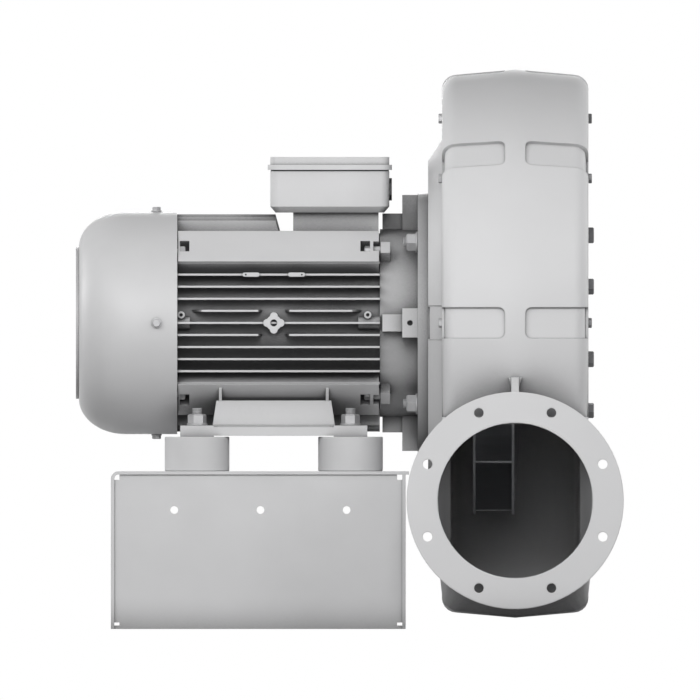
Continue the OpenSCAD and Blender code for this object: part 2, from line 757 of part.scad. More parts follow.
module lid_screws() {
  z = box_z + box_high + gasket_t + lid_lip + lid_high - lid_head_sink;
  color("gainsboro") at_lid_screws() {
    difference() {
      translate([0, 0, z]) cylinder(h = 2.4, r = lid_head_r, $fn = 32);
      translate([-2.6, -0.5, z + 1.2]) cube([5.2, 1, 2]);
      translate([-0.5, -2.6, z + 1.2]) cube([1, 5.2, 2]);
    }
    translate([0, 0, z - 21]) cylinder(h = 21, r = 2, $fn = 24);
  }
}

module terminal_board() {
  z = box_z + box_wall;
  color("saddlebrown") {
    difference() {
      translate([box_x - 30, -46, z]) cube([60, 22, 12]);
      for (i = [-1:1]) translate([box_x + i * 18, -35, z + 4]) cylinder(h = 10, r = 2.6, $fn = 24);
    }
    translate([box_x - 30, 24, z]) cube([60, 22, 12]);
  }
}

module entry_plugs() {
  color("dimgray") for (s = [-1, 1])
    translate([box_x + box_len / 2, s * gland_y, box_z + gland_z]) rotate([0, 90, 0]) {
      cylinder(h = 3, r = gland_r + 3, $fn = 6);
      translate([0, 0, -8]) cylinder(h = 9, r = gland_r - fit, $fn = 32);
    }
}

// Flange fasteners

stud_x0 = flange_x0 - washer_m12 - nut_m12 - 3;

module flange_studs() {
  color("gainsboro") round_shaft(4, flange_pcd / 2, 45) rod(stud_x0, flange_x1 + 8, 6);
}

module flange_washers() {
  color("gainsboro") round_shaft(4, flange_pcd / 2, 45) difference() {
    rod(flange_x0 - washer_m12, flange_x0, 12);
    rod(flange_x0 - washer_m12 - eps, flange_x0 + eps, 6 + fit);
  }
}

module flange_nuts() {
  color("gainsboro") round_shaft(4, flange_pcd / 2, 45) difference() {
    hex(flange_x0 - washer_m12 - nut_m12, flange_x0 - washer_m12, hex_m12);
    rod(flange_x0 - washer_m12 - nut_m12 - eps, flange_x0 - washer_m12 + eps, 6 + fit);
  }
}

// Bearings and rotor

module bearing_balls(x, w, r_out) {
  pitch_r = (bearing_bore_r + r_out) / 2;
  ball_r = (r_out - bearing_bore_r) / 2 - race_t - fit;
  round_shaft(8, pitch_r) translate([x + w / 2, 0, 0]) sphere(r = ball_r, $fn = 32);
}

module drive_bearing_outer() {
  x = drive_bearing_x;
  color("silver") shaft_ring(x, x + drive_bearing_w, drive_bearing_r - race_t, drive_bearing_r);
}

module drive_bearing_inner() {
  x = drive_bearing_x;
  color("silver") shaft_ring(x, x + drive_bearing_w, bearing_bore_r, bearing_bore_r + race_t);
}

module drive_bearing_balls() {
  color("silver") bearing_balls(drive_bearing_x, drive_bearing_w, drive_bearing_r);
}

module fan_bearing_outer() {
  x = fan_bearing_x;
  color("silver") shaft_ring(x, x + fan_bearing_w, fan_bearing_r - race_t, fan_bearing_r);
}

module fan_bearing_inner() {
  x = fan_bearing_x;
  color("silver") shaft_ring(x, x + fan_bearing_w, bearing_bore_r, bearing_bore_r + race_t);
}

module fan_bearing_balls() {
  color("silver") bearing_balls(fan_bearing_x, fan_bearing_w, fan_bearing_r);
}

shaft_end = flange_x1 + shaft_ext;
fan_seat_r = 16;
key_w = 10;
key_x0 = flange_x1 + 22;
key_len = 50;

module shaft() {
  x1 = drive_bearing_x;
  x0 = fan_bearing_x + fan_bearing_w;
  color("silver") difference() {
    turned([
      [0, cooling_fan_x0 - 4], [fan_seat_r - 1, cooling_fan_x0 - 4], [fan_seat_r, cooling_fan_x0 - 3],
      [fan_seat_r, fan_bearing_x - 2], [bearing_bore_r - 0.01, fan_bearing_x - 2], [bearing_bore_r - 0.01, x0],
      [journal_r, x0], [journal_r, x1], [bearing_bore_r - 0.01, x1],
      [bearing_bore_r - 0.01, x1 + drive_bearing_w + 2],
      [shaft_r, x1 + drive_bearing_w + 2], [shaft_r, shaft_end - 1], [shaft_r - 1, shaft_end], [0, shaft_end]
    ]);
    translate([key_x0, -key_w / 2, axis_z + shaft_r - 5]) cube([key_len, key_w, 8]);
    on_shaft(shaft_end - 30) cylinder(h = 31, r = 6 + fit, $fn = 32);
  }
}

module shaft_key() {
  color("silver") translate([key_x0 + fit, fit - key_w / 2, axis_z + shaft_r - 5 + 0.01])
    cube([key_len - 2 * fit, key_w - 2 * fit, 8 - fit]);
}

module rotor_core() {
  color("dimgray") shaft_ring(core_x0, core_x1, journal_r, rotor_r);
}

module cage_rings() {
  ring_w = 12;
  color("silver") for (x = [core_x0 - ring_w, core_x1]) shaft_ring(x, x + ring_w, rotor_r - 24, rotor_r - 3);
}

module cooling_fan() {
  blades = 8;
  blade_r = 104;
  color("dimgray") {
    shaft_ring(cooling_fan_x0, cooling_fan_x0 + cooling_fan_w, fan_seat_r, fan_seat_r + 10);
    shaft_ring(cooling_fan_x0 + cooling_fan_w - 4, cooling_fan_x0 + cooling_fan_w, fan_seat_r + 5, blade_r - 14);
    turned_round(blades, 10) translate([cooling_fan_x0, fan_seat_r + 6, -1.5])
      cube([cooling_fan_w - 1, blade_r - fan_seat_r - 6, 3]);
  }
}

// Scroll casing

// Half section of the rim: [radius, distance from the middle plane] points from the
// motor side to the inlet side, with the radius starting at r_low
function rim_section(r_low, big_r, half_w, corner) = concat(
  [[r_low, -half_w]],
  [for (i = [0:5]) let (t = i * 18)
    [big_r - roof_drop - corner + corner * sin(t), corner - half_w - corner * cos(t)]],
  [[big_r, 0]],
  [for (i = [5:-1:0]) let (t = i * 18)
    [big_r - roof_drop - corner + corner * sin(t), half_w - corner + corner * cos(t)]],
  [[r_low, half_w]]);

// Four quarter turns that open by one step each, and the straight run to the outlet
module scroll_body(shrink_r, half_w, corner, y_end) {
  for (i = [0:3])
    translate([casing_mid, spiral_c[i][0], axis_z + spiral_c[i][1]]) rotate([0, 90, 0])
      rotate([0, 0, spiral_turn[i]]) rotate_extrude(angle = 90, $fn = 128)
        polygon(rim_section(0, spiral_r[i] - shrink_r, half_w, corner));
  translate([casing_mid, spiral_c[3][0], axis_z]) rotate([90, 0, 0])
    linear_extrude(spiral_c[3][0] - y_end) duct_outline(shrink_r, half_w, corner);
}

// Section of the straight run, [across, height from the shaft]
module duct_outline(shrink_r, half_w, corner) {
  shift = -spiral_c[3][1];
  top = duct_top - shrink_r;
  polygon([for (p = rim_section(-top - shift, spiral_r[3] - shrink_r, half_w, corner)) [p[1], -p[0] - shift]]);
}

// Distance from the shaft to the rim at an angle up from the outlet side
function rim_at(phi) =
  let (i = phi < 0 ? 0 : phi < 90 ? 1 : phi < 180 ? 2 : 3, d = [-cos(phi), sin(phi)],
    c = spiral_c[i], along = c * d, across = c[0] * d[1] - c[1] * d[0])
  along + sqrt(spiral_r[i] * spiral_r[i] - across * across);

// Cut for one shallow pocket on the inlet side of the rim, with the rim along +Z
module rim_pocket(big_r) {
  half_w = casing_w / 2;
  corner = rim_round;
  slope = roof_drop / (half_w - corner);
  x0 = pocket_web / 2;
  far = 14;
  intersection() {
    rotate([90, 0, 90]) translate([0, 0, -pocket_len / 2])
      linear_extrude(pocket_len) polygon(concat(
        [[x0, big_r - pocket_depth - slope * x0], [x0, big_r + far], [half_w + far, big_r + far],
          [half_w + far, cover_r + 1], [half_w - pocket_depth + 0.5, cover_r + 1]],
        [for (i = [0:4]) let (t = i * 22.5) [half_w - corner + (corner - pocket_depth) * cos(t),
          big_r - roof_drop - corner + (corner - pocket_depth) * sin(t)]]));
    translate([0, x0 + 60, cover_r - 4]) linear_extrude(big_r)
      polygon(rounded_rect(pocket_len, 120, 7));
  }
}

module rim_pockets() {
  for (phi = [0:45:225], s = [0, 1])
    translate([casing_mid, 0, axis_z]) mirror([s, 0, 0])
      rotate([90 - phi, 0, 0]) rotate([0, 0, -90]) rim_pocket(rim_at(phi));
}

// Blend from the straight run to the round neck. It starts and ends a little way inside
// both, and a hair smaller, so that it meets each of them across a clean edge.
module outlet_transition(shrink_r, half_w, corner, r, y1) {
  lap = 2;
  hair = 0.4;
  hull() {
    translate([casing_mid, duct_end + lap, axis_z]) rotate([90, 0, 0])
      linear_extrude(hair) duct_outline(shrink_r + hair, half_w - hair, corner);
    translate([casing_mid, y1 - lap, axis_z - outlet_drop]) rotate([90, 0, 0])
      cylinder(h = hair, r = r - hair, $fn = 48);
  }
}

module scroll_casing() {
  neck_y = outlet_face + outlet_flange_t + 14;
  rib_t = 9;
  rib_top = duct_top + 46;
  flare = 3.2;
  color("gainsboro") difference() {
    union() {
      difference() {
        scroll_body(0, casing_w / 2, rim_round, duct_end);
        rim_pockets();
      }
      outlet_transition(0, casing_w / 2, rim_round, outlet_d / 2 + 7, neck_y);
      translate([casing_mid, neck_y, axis_z - outlet_drop]) rotate([90, 0, 0])
        cylinder(h = neck_y - outlet_face, r = outlet_d / 2 + 7, $fn = 96);
      translate([casing_mid, outlet_face + outlet_flange_t, axis_z - outlet_drop]) rotate([90, 0, 0])
        cylinder(h = outlet_flange_t, d = outlet_flange_d, $fn = 96);
      // Gusset between the front of the scroll and the flange
      translate([casing_mid - rib_t / 2, 0, axis_z]) rotate([90, 0, 90]) linear_extrude(rib_t)
        polygon([[-245, duct_top - 4], [outlet_face + outlet_flange_t - 1, duct_top - 4],
          [outlet_face + outlet_flange_t - 1, duct_top + 22], [-266, rib_top], [-245, rib_top]]);
      translate([casing_mid, -245, axis_z]) rotate([90, 0, 0]) linear_extrude(20)
        polygon([
          [rib_t / 2 - 0.5, rib_top - 18], [rib_t / 2 + 0.6, rib_top - 10], [rib_t / 2 + flare, rib_top - 0.4],
          [-rib_t / 2 - flare, rib_top - 0.4], [-rib_t / 2 - 0.6, rib_top - 10], [0.5 - rib_t / 2, rib_top - 18]
        ]);
    }
    scroll_body(rim_wall, casing_w / 2 - side_wall, 8, duct_end);
    outlet_transition(rim_wall, casing_w / 2 - side_wall, 8, outlet_d / 2, neck_y);
    translate([casing_mid, neck_y, axis_z - outlet_drop]) rotate([90, 0, 0])
      cylinder(h = neck_y - outlet_face + 1, d = outlet_d, $fn = 96);
    on_shaft(casing_x0 - eps) cylinder(h = casing_w + 2 * eps, r = opening_r, $fn = 96);
    for (x = [casing_x0 - eps, casing_x1 - ledge_t])
      on_shaft(x) cylinder(h = ledge_t + eps, r = cover_r, $fn = 96);
    round_shaft(cover_screws, cover_screw_r) rod(casing_x0, casing_x1, 3 + fit);
    for (i = [0:outlet_holes - 1]) {
      a = 180 / outlet_holes + i * 360 / outlet_holes;
      translate([casing_mid + outlet_pcd / 2 * cos(a), outlet_face - eps,
        axis_z - outlet_drop + outlet_pcd / 2 * sin(a)])
        rotate([-90, 0, 0]) cylinder(h = outlet_flange_t + 2 * eps, d = outlet_hole_d, $fn = 32);
    }
  }
}

// Disc with the raised seat that the motor flange bolts to
module motor_side_cover() {
  seat_r = 188;
  skirt_r = 213;
  plate = 11;
  recess_w = 40;
  recess_in = 2;
  color("lightgray") difference() {
    turned([
      [bearing_bore_r + 8, flange_x1 + 4.1], [spigot_r + fit, flange_x1 + 4.1], [spigot_r + fit, flange_x1],
      [seat_r, flange_x1], [skirt_r, casing_x0], [cover_r - fit, casing_x0], [cover_r - fit, casing_x0 + ledge_t],
      [opening_r - fit, casing_x0 + ledge_t], [opening_r - fit, casing_x0 + side_wall],
      [skirt_r, casing_x0 + side_wall], [seat_r - 4, flange_x1 + plate], [bearing_bore_r + 8, flange_x1 + plate]
    ]);
    round_shaft(4, flange_pcd / 2, 45) rod(flange_x1 - eps, flange_x1 + 8.5, 6 + fit);
    round_shaft(cover_screws, cover_screw_r) rod(casing_x0 - eps, casing_x0 + ledge_t + eps, 3 + fit);
    // Shallow recess and drain slot in the seat, level with the shaft
    difference() {
      translate([flange_x1 - eps, -skirt_r - 1, axis_z - recess_w / 2])
        cube([casing_x0 - flange_x1 + 0.3, skirt_r - seat_r + 9, recess_w]);
      turned([[0, flange_x1 - 1], [seat_r - recess_in, flange_x1 - 1], [seat_r - recess_in, flange_x1],
        [skirt_r - recess_in, casing_x0], [skirt_r - recess_in, casing_x0 + 1], [0, casing_x0 + 1]]);
    }
    translate([flange_x1 - eps, -seat_r - 30, axis_z - recess_w / 2 + 1.5]) cube([2.5, 50, recess_w - 3]);
  }
}

module motor_cover_screws() {
  color("gainsboro") round_shaft(cover_screws, cover_screw_r) {
    hex(casing_x0 - head_m6, casing_x0, hex_m6);
    rod(casing_x0, casing_x0 + side_wall, 3);
  }
}

module shaft_seal() {
  color("dimgray") shaft_ring(flange_x1 + 4.5, flange_x1 + 10.5, shaft_r + run, bearing_bore_r + 8 - 0.02);
}

module inlet_cover() {
  inner = casing_x1 - side_wall;
  color("gainsboro") difference() {
    turned([
      [inlet_d / 2, inner], [opening_r - fit, inner], [opening_r - fit, casing_x1 - ledge_t],
      [cover_r - fit, casing_x1 - ledge_t], [cover_r - fit, casing_x1], [guard_r + 0.5, casing_x1],
      [guard_r + 0.5, guard_x0], [inlet_d / 2, guard_x0]
    ]);
    round_shaft(8, inlet_pcd / 2, 22.5) rod(guard_x0 - 8, casing_x1 + eps, 5 + fit);
    round_shaft(cover_screws, cover_screw_r) rod(casing_x1 - ledge_t - eps, casing_x1 + eps, 3 + fit);
  }
}

module inlet_cover_screws() {
  color("gainsboro") round_shaft(cover_screws, cover_screw_r) {
    hex(casing_x1, casing_x1 + head_m6, hex_m6);
    rod(casing_x1 - side_wall, casing_x1, 3);
  }
}

// Bell that leads the air from the inlet into the eye of the impeller
module inlet_nozzle() {
  x1 = casing_x1 - side_wall;
  x0 = eye_x - 6;
  throat = eye_r - 1 - nozzle_t;
  mouth = inlet_d / 2;
  color("silver") turned(concat(
    [[mouth + 14, x1], [mouth, x1]],
    [for (i = [0:6]) let (t = i * 15)
      [mouth - (mouth - throat) * sin(t), x1 - nozzle_t - (x1 - x0 - nozzle_t) * (i / 6)]],
    [for (i = [6:-1:0]) let (t = i * 15)
      [mouth + nozzle_t - (mouth - throat) * sin(t), x1 - nozzle_t - (x1 - x0 - nozzle_t) * (i / 6)]],
    [[mouth + 14, x1 - nozzle_t]]));
}

module inlet_guard() {
  x0 = guard_x0;
  rings = 7;
  ring_pitch = 11.5;
  slot = 8;
  color("silver") difference() {
    shaft_ring(x0, x0 + guard_t, 0, guard_r);
    difference() {
      for (i = [0:rings - 1])
        shaft_ring(x0 - eps, x0 + guard_t + eps, 12 + i * ring_pitch - slot / 2, 12 + i * ring_pitch + slot / 2);
      turned_round(8, 22.5) translate([x0 - 1, 0, -3]) cube([guard_t + 2, guard_r, 6]);
    }
    round_shaft(8, inlet_pcd / 2, 22.5) rod(x0 - eps, x0 + guard_t + eps, 5.2);
  }
}

module inlet_bolts() {
  color("dimgray") round_shaft(8, inlet_pcd / 2, 22.5) {
    hex(casing_x1, casing_x1 + head_m10, hex_m10);
    rod(guard_x0 - 7, casing_x1, 5);
  }
}

// Impeller

module impeller_hub() {
  x0 = impeller_x0 - 30;
  color("silver") difference() {
    turned([
      [shaft_r + 0.01, x0], [hub_r, x0], [hub_r, impeller_x0 - 7], [hub_flange_r, impeller_x0 - 7],
      [hub_flange_r, impeller_x0], [hub_r, impeller_x0], [hub_r, shaft_end], [shaft_r + 0.01, shaft_end]
    ]);
    translate([x0 - 1, -key_w / 2, axis_z]) cube([shaft_end - x0 + 2, key_w, shaft_r + 3 + fit]);
    round_shaft(6, hub_rivet_r) rod(impeller_x0 - 7 - eps, impeller_x0 + eps, 3 + fit);
  }
}

module impeller_back_disc() {
  color("silver") difference() {
    shaft_ring(impeller_x0, impeller_x0 + impeller_t, hub_r + fit, impeller_r);
    round_shaft(6, hub_rivet_r) rod(impeller_x0 - eps, impeller_x0 + impeller_t + eps, 3 + fit);
  }
}

module hub_rivets() {
  color("silver") round_shaft(6, hub_rivet_r) {
    rod(impeller_x0 - 9, impeller_x0 - 7, 5.5);
    rod(impeller_x0 - 7.5, impeller_x0 + impeller_t + 0.5, 3);
    rod(impeller_x0 + impeller_t, impeller_x0 + impeller_t + 2, 5.5);
  }
}

// Inner face of the shroud, from the eye to the rim
shroud_face = [[eye_r + 2, eye_x - 8], [eye_r + 14, eye_x - 16], [impeller_r, impeller_x1]];

module impeller_shroud() {
  t = impeller_t;
  color("silver") turned(concat(
    [[eye_r, eye_x]], [[eye_r + t, eye_x], [eye_r + 2 + t, eye_x - 8 + t / 2], [eye_r + 14, eye_x - 16 + t],
      [impeller_r, impeller_x1 + t]],
    [for (i = [2:-1:0]) shroud_face[i]], [[eye_r, eye_x - 6]]));
}

// Plan of one blade that leans back as it goes outwards
function blade_line(shift) =
  [for (i = [0:8])
    let (s = i / 8, r = eye_r + 6 + (impeller_r - eye_r - 7) * s, a = -58 * s * (1 - 0.25 * s) + shift / r * 57.3)
    [r * cos(a), r * sin(a)]];

module impeller_blades() {
  x0 = impeller_x0 + impeller_t;
  a = blade_line(0);
  b = blade_line(impeller_t);
  color("silver") intersection() {
    for (i = [0:impeller_blades_n - 1])
      on_shaft(x0) rotate([0, 0, i * 360 / impeller_blades_n]) linear_extrude(eye_x - x0)
        polygon(concat(a, [for (k = [8:-1:0]) b[k]]));
    turned([[eye_r, x0], [impeller_r - 0.5, x0], [impeller_r - 0.5, impeller_x1],
      [eye_r + 14, eye_x - 16], [eye_r, eye_x - 16]]);
  }
}

module impeller_washer() {
  color("gainsboro") shaft_ring(shaft_end, shaft_end + 6, 6 + fit, hub_r - 3);
}

module impeller_bolt() {
  color("gainsboro") translate([0, 0, axis_z]) {
    hex(shaft_end + 6, shaft_end + 6 + head_m12, hex_m12);
    rod(shaft_end - 28, shaft_end + 6, 6);
  }
}

base_top_plate();
base_end_plates();
base_front_panel();
base_rear_panel();
rubber_buffers();
buffer_studs();
foot_nuts();
foot_washers();
buffer_base_nuts();
motor_frame();
motor_feet();
drive_end_shield();
fan_end_shield();
drive_shield_screws();
fan_shield_screws();
stator_core();
stator_windings();
fan_cowl();
cowl_screws();
nameplate_pads();
terminal_box();
terminal_gasket();
terminal_lid();
lid_screws();
terminal_board();
entry_plugs();
flange_studs();
flange_washers();
flange_nuts();
drive_bearing_outer();
drive_bearing_inner();
drive_bearing_balls();
fan_bearing_outer();
fan_bearing_inner();
fan_bearing_balls();
shaft();
shaft_key();
rotor_core();
cage_rings();
cooling_fan();
scroll_casing();
motor_side_cover();
motor_cover_screws();
shaft_seal();
inlet_cover();
inlet_cover_screws();
inlet_nozzle();
inlet_guard();
inlet_bolts();
impeller_hub();
impeller_back_disc();
impeller_blades();
impeller_shroud();
hub_rivets();
impeller_washer();
impeller_bolt();
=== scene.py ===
"""Dressed model of a direct-driven high-pressure blower.

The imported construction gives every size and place. This script gives its pieces their finishes,
sets detailed fasteners, grilles, buffers and covers over the plain ones, and sets the studio and
the camera.
"""

from __future__ import annotations

import json
import logging
import math
from dataclasses import dataclass
from enum import Enum

import bmesh
import bpy
from bpy.types import ID, Material, Mesh, Node, NodeSocket, NodeTree, Object
from mathutils import Matrix, Vector

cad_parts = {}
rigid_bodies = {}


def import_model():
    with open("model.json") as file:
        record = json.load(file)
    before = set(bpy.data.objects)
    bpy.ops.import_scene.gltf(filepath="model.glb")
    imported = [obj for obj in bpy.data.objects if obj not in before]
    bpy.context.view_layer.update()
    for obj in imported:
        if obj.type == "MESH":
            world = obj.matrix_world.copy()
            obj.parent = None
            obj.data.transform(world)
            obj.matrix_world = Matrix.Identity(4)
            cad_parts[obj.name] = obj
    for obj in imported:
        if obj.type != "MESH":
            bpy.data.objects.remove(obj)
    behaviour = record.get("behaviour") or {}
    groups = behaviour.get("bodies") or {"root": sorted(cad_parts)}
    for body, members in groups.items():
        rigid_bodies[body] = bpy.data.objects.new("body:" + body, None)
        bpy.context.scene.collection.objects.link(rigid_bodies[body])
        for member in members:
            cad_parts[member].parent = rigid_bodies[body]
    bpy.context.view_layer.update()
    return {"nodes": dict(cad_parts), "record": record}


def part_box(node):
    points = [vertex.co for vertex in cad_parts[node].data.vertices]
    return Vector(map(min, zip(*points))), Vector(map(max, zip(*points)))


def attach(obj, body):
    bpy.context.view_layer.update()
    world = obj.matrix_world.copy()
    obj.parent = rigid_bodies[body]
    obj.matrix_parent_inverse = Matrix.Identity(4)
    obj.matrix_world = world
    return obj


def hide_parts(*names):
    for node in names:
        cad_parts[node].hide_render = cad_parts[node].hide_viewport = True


LOG = logging.getLogger("blower")
MM = 0.001
HEXAGON = 6
SMOOTH_DEG = 35.0  # Edges flatter than this shade smoothly
WELD = 1e-6  # Points of the construction closer than this, in metres, are one
FINE_WELD = 1e-7  # The same for turned profiles, whose points on the axis coincide
PLACES_PER_METRE = 2e5  # Fineness at which the corners of a casting's faces count as one place
DRIFT_SPAN = (0.3, 0.7)  # What the noise of a finish mostly stays between
GLOSS_SWING = 0.05  # How far the roughness drifts to either side


class Body(Enum):
    """The two bodies of the blower that turn against each other."""

    FRAME = "frame"
    ROTOR = "rotor"


class Slot(Enum):
    """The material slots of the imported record."""

    SHEET = "painted_steel"
    CASTING = "painted_casting"
    GREY_RUBBER = "grey_rubber"
    BLACK_RUBBER = "black_rubber"
    ZINC = "zinc_plated"
    CORE = "core_steel"
    COPPER = "copper_winding"
    BEARING = "bearing_steel"
    MACHINED = "machined_steel"
    ALUMINIUM = "bare_aluminium"
    GUARD = "guard_steel"
    PLASTIC = "dark_plastic"


class Facing(Enum):
    """The way that the head of a fastener points."""

    DRIVE_END = (1.0, 0.0, 0.0)
    FAN_END = (-1.0, 0.0, 0.0)
    UP = (0.0, 0.0, 1.0)
    DOWN = (0.0, 0.0, -1.0)
    OUTWARD = (0.0, 0.0, 0.0)


class Axis(Enum):
    """The way that a turned piece's axis points."""

    SHAFT = "shaft"
    UPRIGHT = "upright"


def linear(code: str) -> tuple[float, float, float, float]:
    """Turn an sRGB hex colour to the linear values that the shaders take.

    Args:
        code: The colour as #rrggbb.

    Returns:
        Linear red, green and blue, and a full fourth value.
    """
    values = [int(code[i:i + 2], 16) / 255 for i in (1, 3, 5)]
    red, green, blue = (v / 12.92 if v <= 0.04045 else ((v + 0.055) / 1.055) ** 2.4 for v in values)
    return red, green, blue, 1.0


WHITE = linear("#ffffff")


def add(tree: NodeTree, kind: str, inputs: dict | None = None, **settings: object) -> Node:
    """Add one node to a tree, with its settings, values and links.

    Args:
        tree: The shader or geometry tree.
        kind: The node's type name.
        inputs: What each input gets, by name or number: a value, an output socket, a node for its
            first output, or a list of those where an input takes several links.
        settings: The node's own properties.

    Returns:
        The new node.
    """
    node = tree.nodes.new(kind)
    for key, value in settings.items():
        setattr(node, key, value)
    for key, value in (inputs or {}).items():
        for source in value if isinstance(value, list) else [value]:
            if isinstance(source, Node):
                source = source.outputs[0]
            if isinstance(source, NodeSocket):
                tree.links.new(source, node.inputs[key])
            else:
                node.inputs[key].default_value = source
    return node


@dataclass(frozen=True)
class Finish:
    """A surface finish: two close tones, a gloss, a relief and softened edges.

    Attributes:
        name: The material's name, mostly what the finish is called in a workshop.
        tone: The main colour.
        second: The colour that it drifts to.
        roughness: Mean roughness.
        metallic: 1 for bare metal.
        drift_mm: Size of the patches of tone.
        grain_mm: Size of the relief's grain.
        relief_mm: Height of the relief.
        edge_mm: Radius that the edges look rounded to.
    """

    name: str
    tone: str
    second: str
    roughness: float = 0.5
    metallic: float = 0.0
    drift_mm: float = 60.0
    grain_mm: float = 1.5
    relief_mm: float = 0.05
    edge_mm: float = 0.5

    def pattern(self, tree: NodeTree, place: NodeSocket) -> NodeSocket:
        """Make the height of the relief, from 0 to 1.

        Args:
            tree: The material's tree.
            place: Object coordinates in metres.

        Returns:
            The height.
        """
        return add(tree, "ShaderNodeTexNoise", {
            "Vector": place, "Scale": 1 / (self.grain_mm * MM), "Detail": 3.0,
            "Roughness": 0.6}).outputs["Fac"]

    def tint(self, tree: NodeTree, colour: NodeSocket) -> NodeSocket:
        """Change the colour where a finish paints shade in. The plain finish leaves it as it is."""
        return colour

    def material(self) -> Material:
        """Build the material once and hand it out afterwards.

        Returns:
            The material.
        """
        known = bpy.data.materials.get(self.name)
        if known:
            return known
        made = bpy.data.materials.new(self.name)
        made.use_nodes = True
        tree = made.node_tree
        tree.nodes.clear()
        place = add(tree, "ShaderNodeTexCoord").outputs["Object"]
        drift = add(tree, "ShaderNodeTexNoise", {
            "Vector": place, "Scale": 1 / (self.drift_mm * MM), "Detail": 4.0}).outputs["Fac"]
        tones = add(tree, "ShaderNodeMix", {
            "Factor": drift, "A": linear(self.tone), "B": linear(self.second)}, data_type="RGBA")
        height = self.pattern(tree, place)
        gloss = add(tree, "ShaderNodeMapRange", {
            "Value": drift, "From Min": DRIFT_SPAN[0], "From Max": DRIFT_SPAN[1],
            "To Min": self.roughness - GLOSS_SWING, "To Max": self.roughness + GLOSS_SWING})
        soft = add(tree, "ShaderNodeBevel", {"Radius": self.edge_mm * MM}, samples=4)
        relief = add(tree, "ShaderNodeBump", {
            "Height": height, "Distance": self.relief_mm * MM, "Normal": soft})
        shader = add(tree, "ShaderNodeBsdfPrincipled", {
            "Base Color": self.tint(tree, tones.outputs[2]), "Metallic": self.metallic, "Roughness": gloss,
            "Normal": relief})
        add(tree, "ShaderNodeOutputMaterial", {"Surface": shader})
        made.diffuse_color = linear(self.tone)
        return made


@dataclass(frozen=True, kw_only=True)
class RecessedPaint(Finish):
    """Paint with shade painted in: it darkens in gaps and inner corners, where less open sky is seen.

    Attributes:
        painted_shade: The painted shade's colour in the deepest gaps.
        reach_mm: How wide a gap still takes painted shade.
        open_from: Share of open sky at which a spot takes the full painted shade.
        open_to: Share of open sky at which it is free of painted shade.
    """

    painted_shade: str
    reach_mm: float
    open_from: float
    open_to: float

    def tint(self, tree: NodeTree, colour: NodeSocket) -> NodeSocket:
        """Darken the paint in recesses as painted shade.

        Args:
            tree: The material's tree.
            colour: The paint without painted shade.

        Returns:
            The paint with its painted shade.
        """
        # Painted shade: the less open sky a spot sees, the nearer its colour comes to the shade colour
        open_sky = add(tree, "ShaderNodeAmbientOcclusion", {"Distance": self.reach_mm * MM}, samples=6)
        share = add(tree, "ShaderNodeMapRange", {
            "Value": open_sky.outputs["AO"], "From Min": self.open_from, "From Max": self.open_to})
        return add(tree, "ShaderNodeMix", {
            "Factor": share, "A": linear(self.painted_shade), "B": colour}, data_type="RGBA").outputs[2]


@dataclass(frozen=True, kw_only=True)
class ScrollPaint(RecessedPaint):
    """Paint of the scroll, with painted shade in its recesses and a darker painted shade on the two side
    walls inside the outlet.

    Attributes:
        outlet: Place of the outlet's middle line along the shaft and above the floor, in millimetres.
        corner_mm: Distances from that line within which the side walls take the painted shade, and past which
            they are free of it.
        depth_mm: Places across the shaft where the painted shade on the side walls begins to fade, and where
            it has faded.
        side_on: How squarely a wall faces along the shaft where it takes the full painted shade, from 0 to 1.
        wall_shade: How far the side walls turn to the painted shade's colour.
    """

    outlet: tuple[float, float] = (298.0, 149.0)
    corner_mm: tuple[float, float] = (122.0, 130.0)
    depth_mm: tuple[float, float] = (-270.0, -170.0)
    side_on: float = 0.8
    wall_shade: float = 0.7

    def tint(self, tree: NodeTree, colour: NodeSocket) -> NodeSocket:
        """Paint shade into the recesses, and a darker painted shade onto the side walls that look at each
        other across the outlet.

        Args:
            tree: The material's tree.
            colour: The paint without painted shade.

        Returns:
            The paint with its painted shade inside and out.
        """
        place = add(tree, "ShaderNodeTexCoord").outputs["Object"]
        middle = (self.outlet[0] * MM, 0.0, self.outlet[1] * MM)
        off = add(tree, "ShaderNodeVectorMath", {0: place, 1: middle}, operation="SUBTRACT")
        across = add(tree, "ShaderNodeVectorMath", {0: off, 1: (1.0, 0.0, 1.0)}, operation="MULTIPLY")
        radius = add(tree, "ShaderNodeVectorMath", {0: across}, operation="LENGTH").outputs["Value"]
        split = add(tree, "ShaderNodeSeparateXYZ", {"Vector": off}).outputs
        side = add(tree, "ShaderNodeMath", {0: split["X"]}, operation="SIGN")
        normal = add(tree, "ShaderNodeNewGeometry").outputs["True Normal"]
        along = add(tree, "ShaderNodeSeparateXYZ", {"Vector": normal}).outputs["X"]
        facing = add(tree, "ShaderNodeMath", {0: side, 1: along}, operation="MULTIPLY")
        # Painted shade on the outlet's inner side walls: within the corner distances of its line, on walls
        # facing each other across it, past its mouth
        near = add(tree, "ShaderNodeMapRange", {
            "Value": radius, "From Min": self.corner_mm[1] * MM, "From Max": self.corner_mm[0] * MM,
            "To Max": self.wall_shade})
        inward = add(tree, "ShaderNodeMapRange", {
            "Value": facing, "From Min": 0.0, "From Max": -self.side_on})
        mouth = add(tree, "ShaderNodeMapRange", {
            "Value": split["Y"], "From Min": self.depth_mm[1] * MM, "From Max": self.depth_mm[0] * MM})
        walls = add(tree, "ShaderNodeMath", {0: near, 1: inward}, operation="MULTIPLY")
        share = add(tree, "ShaderNodeMath", {0: walls, 1: mouth}, operation="MULTIPLY")
        return add(tree, "ShaderNodeMix", {
            "Factor": share, "A": super().tint(tree, colour), "B": linear(self.painted_shade)},
            data_type="RGBA").outputs[2]


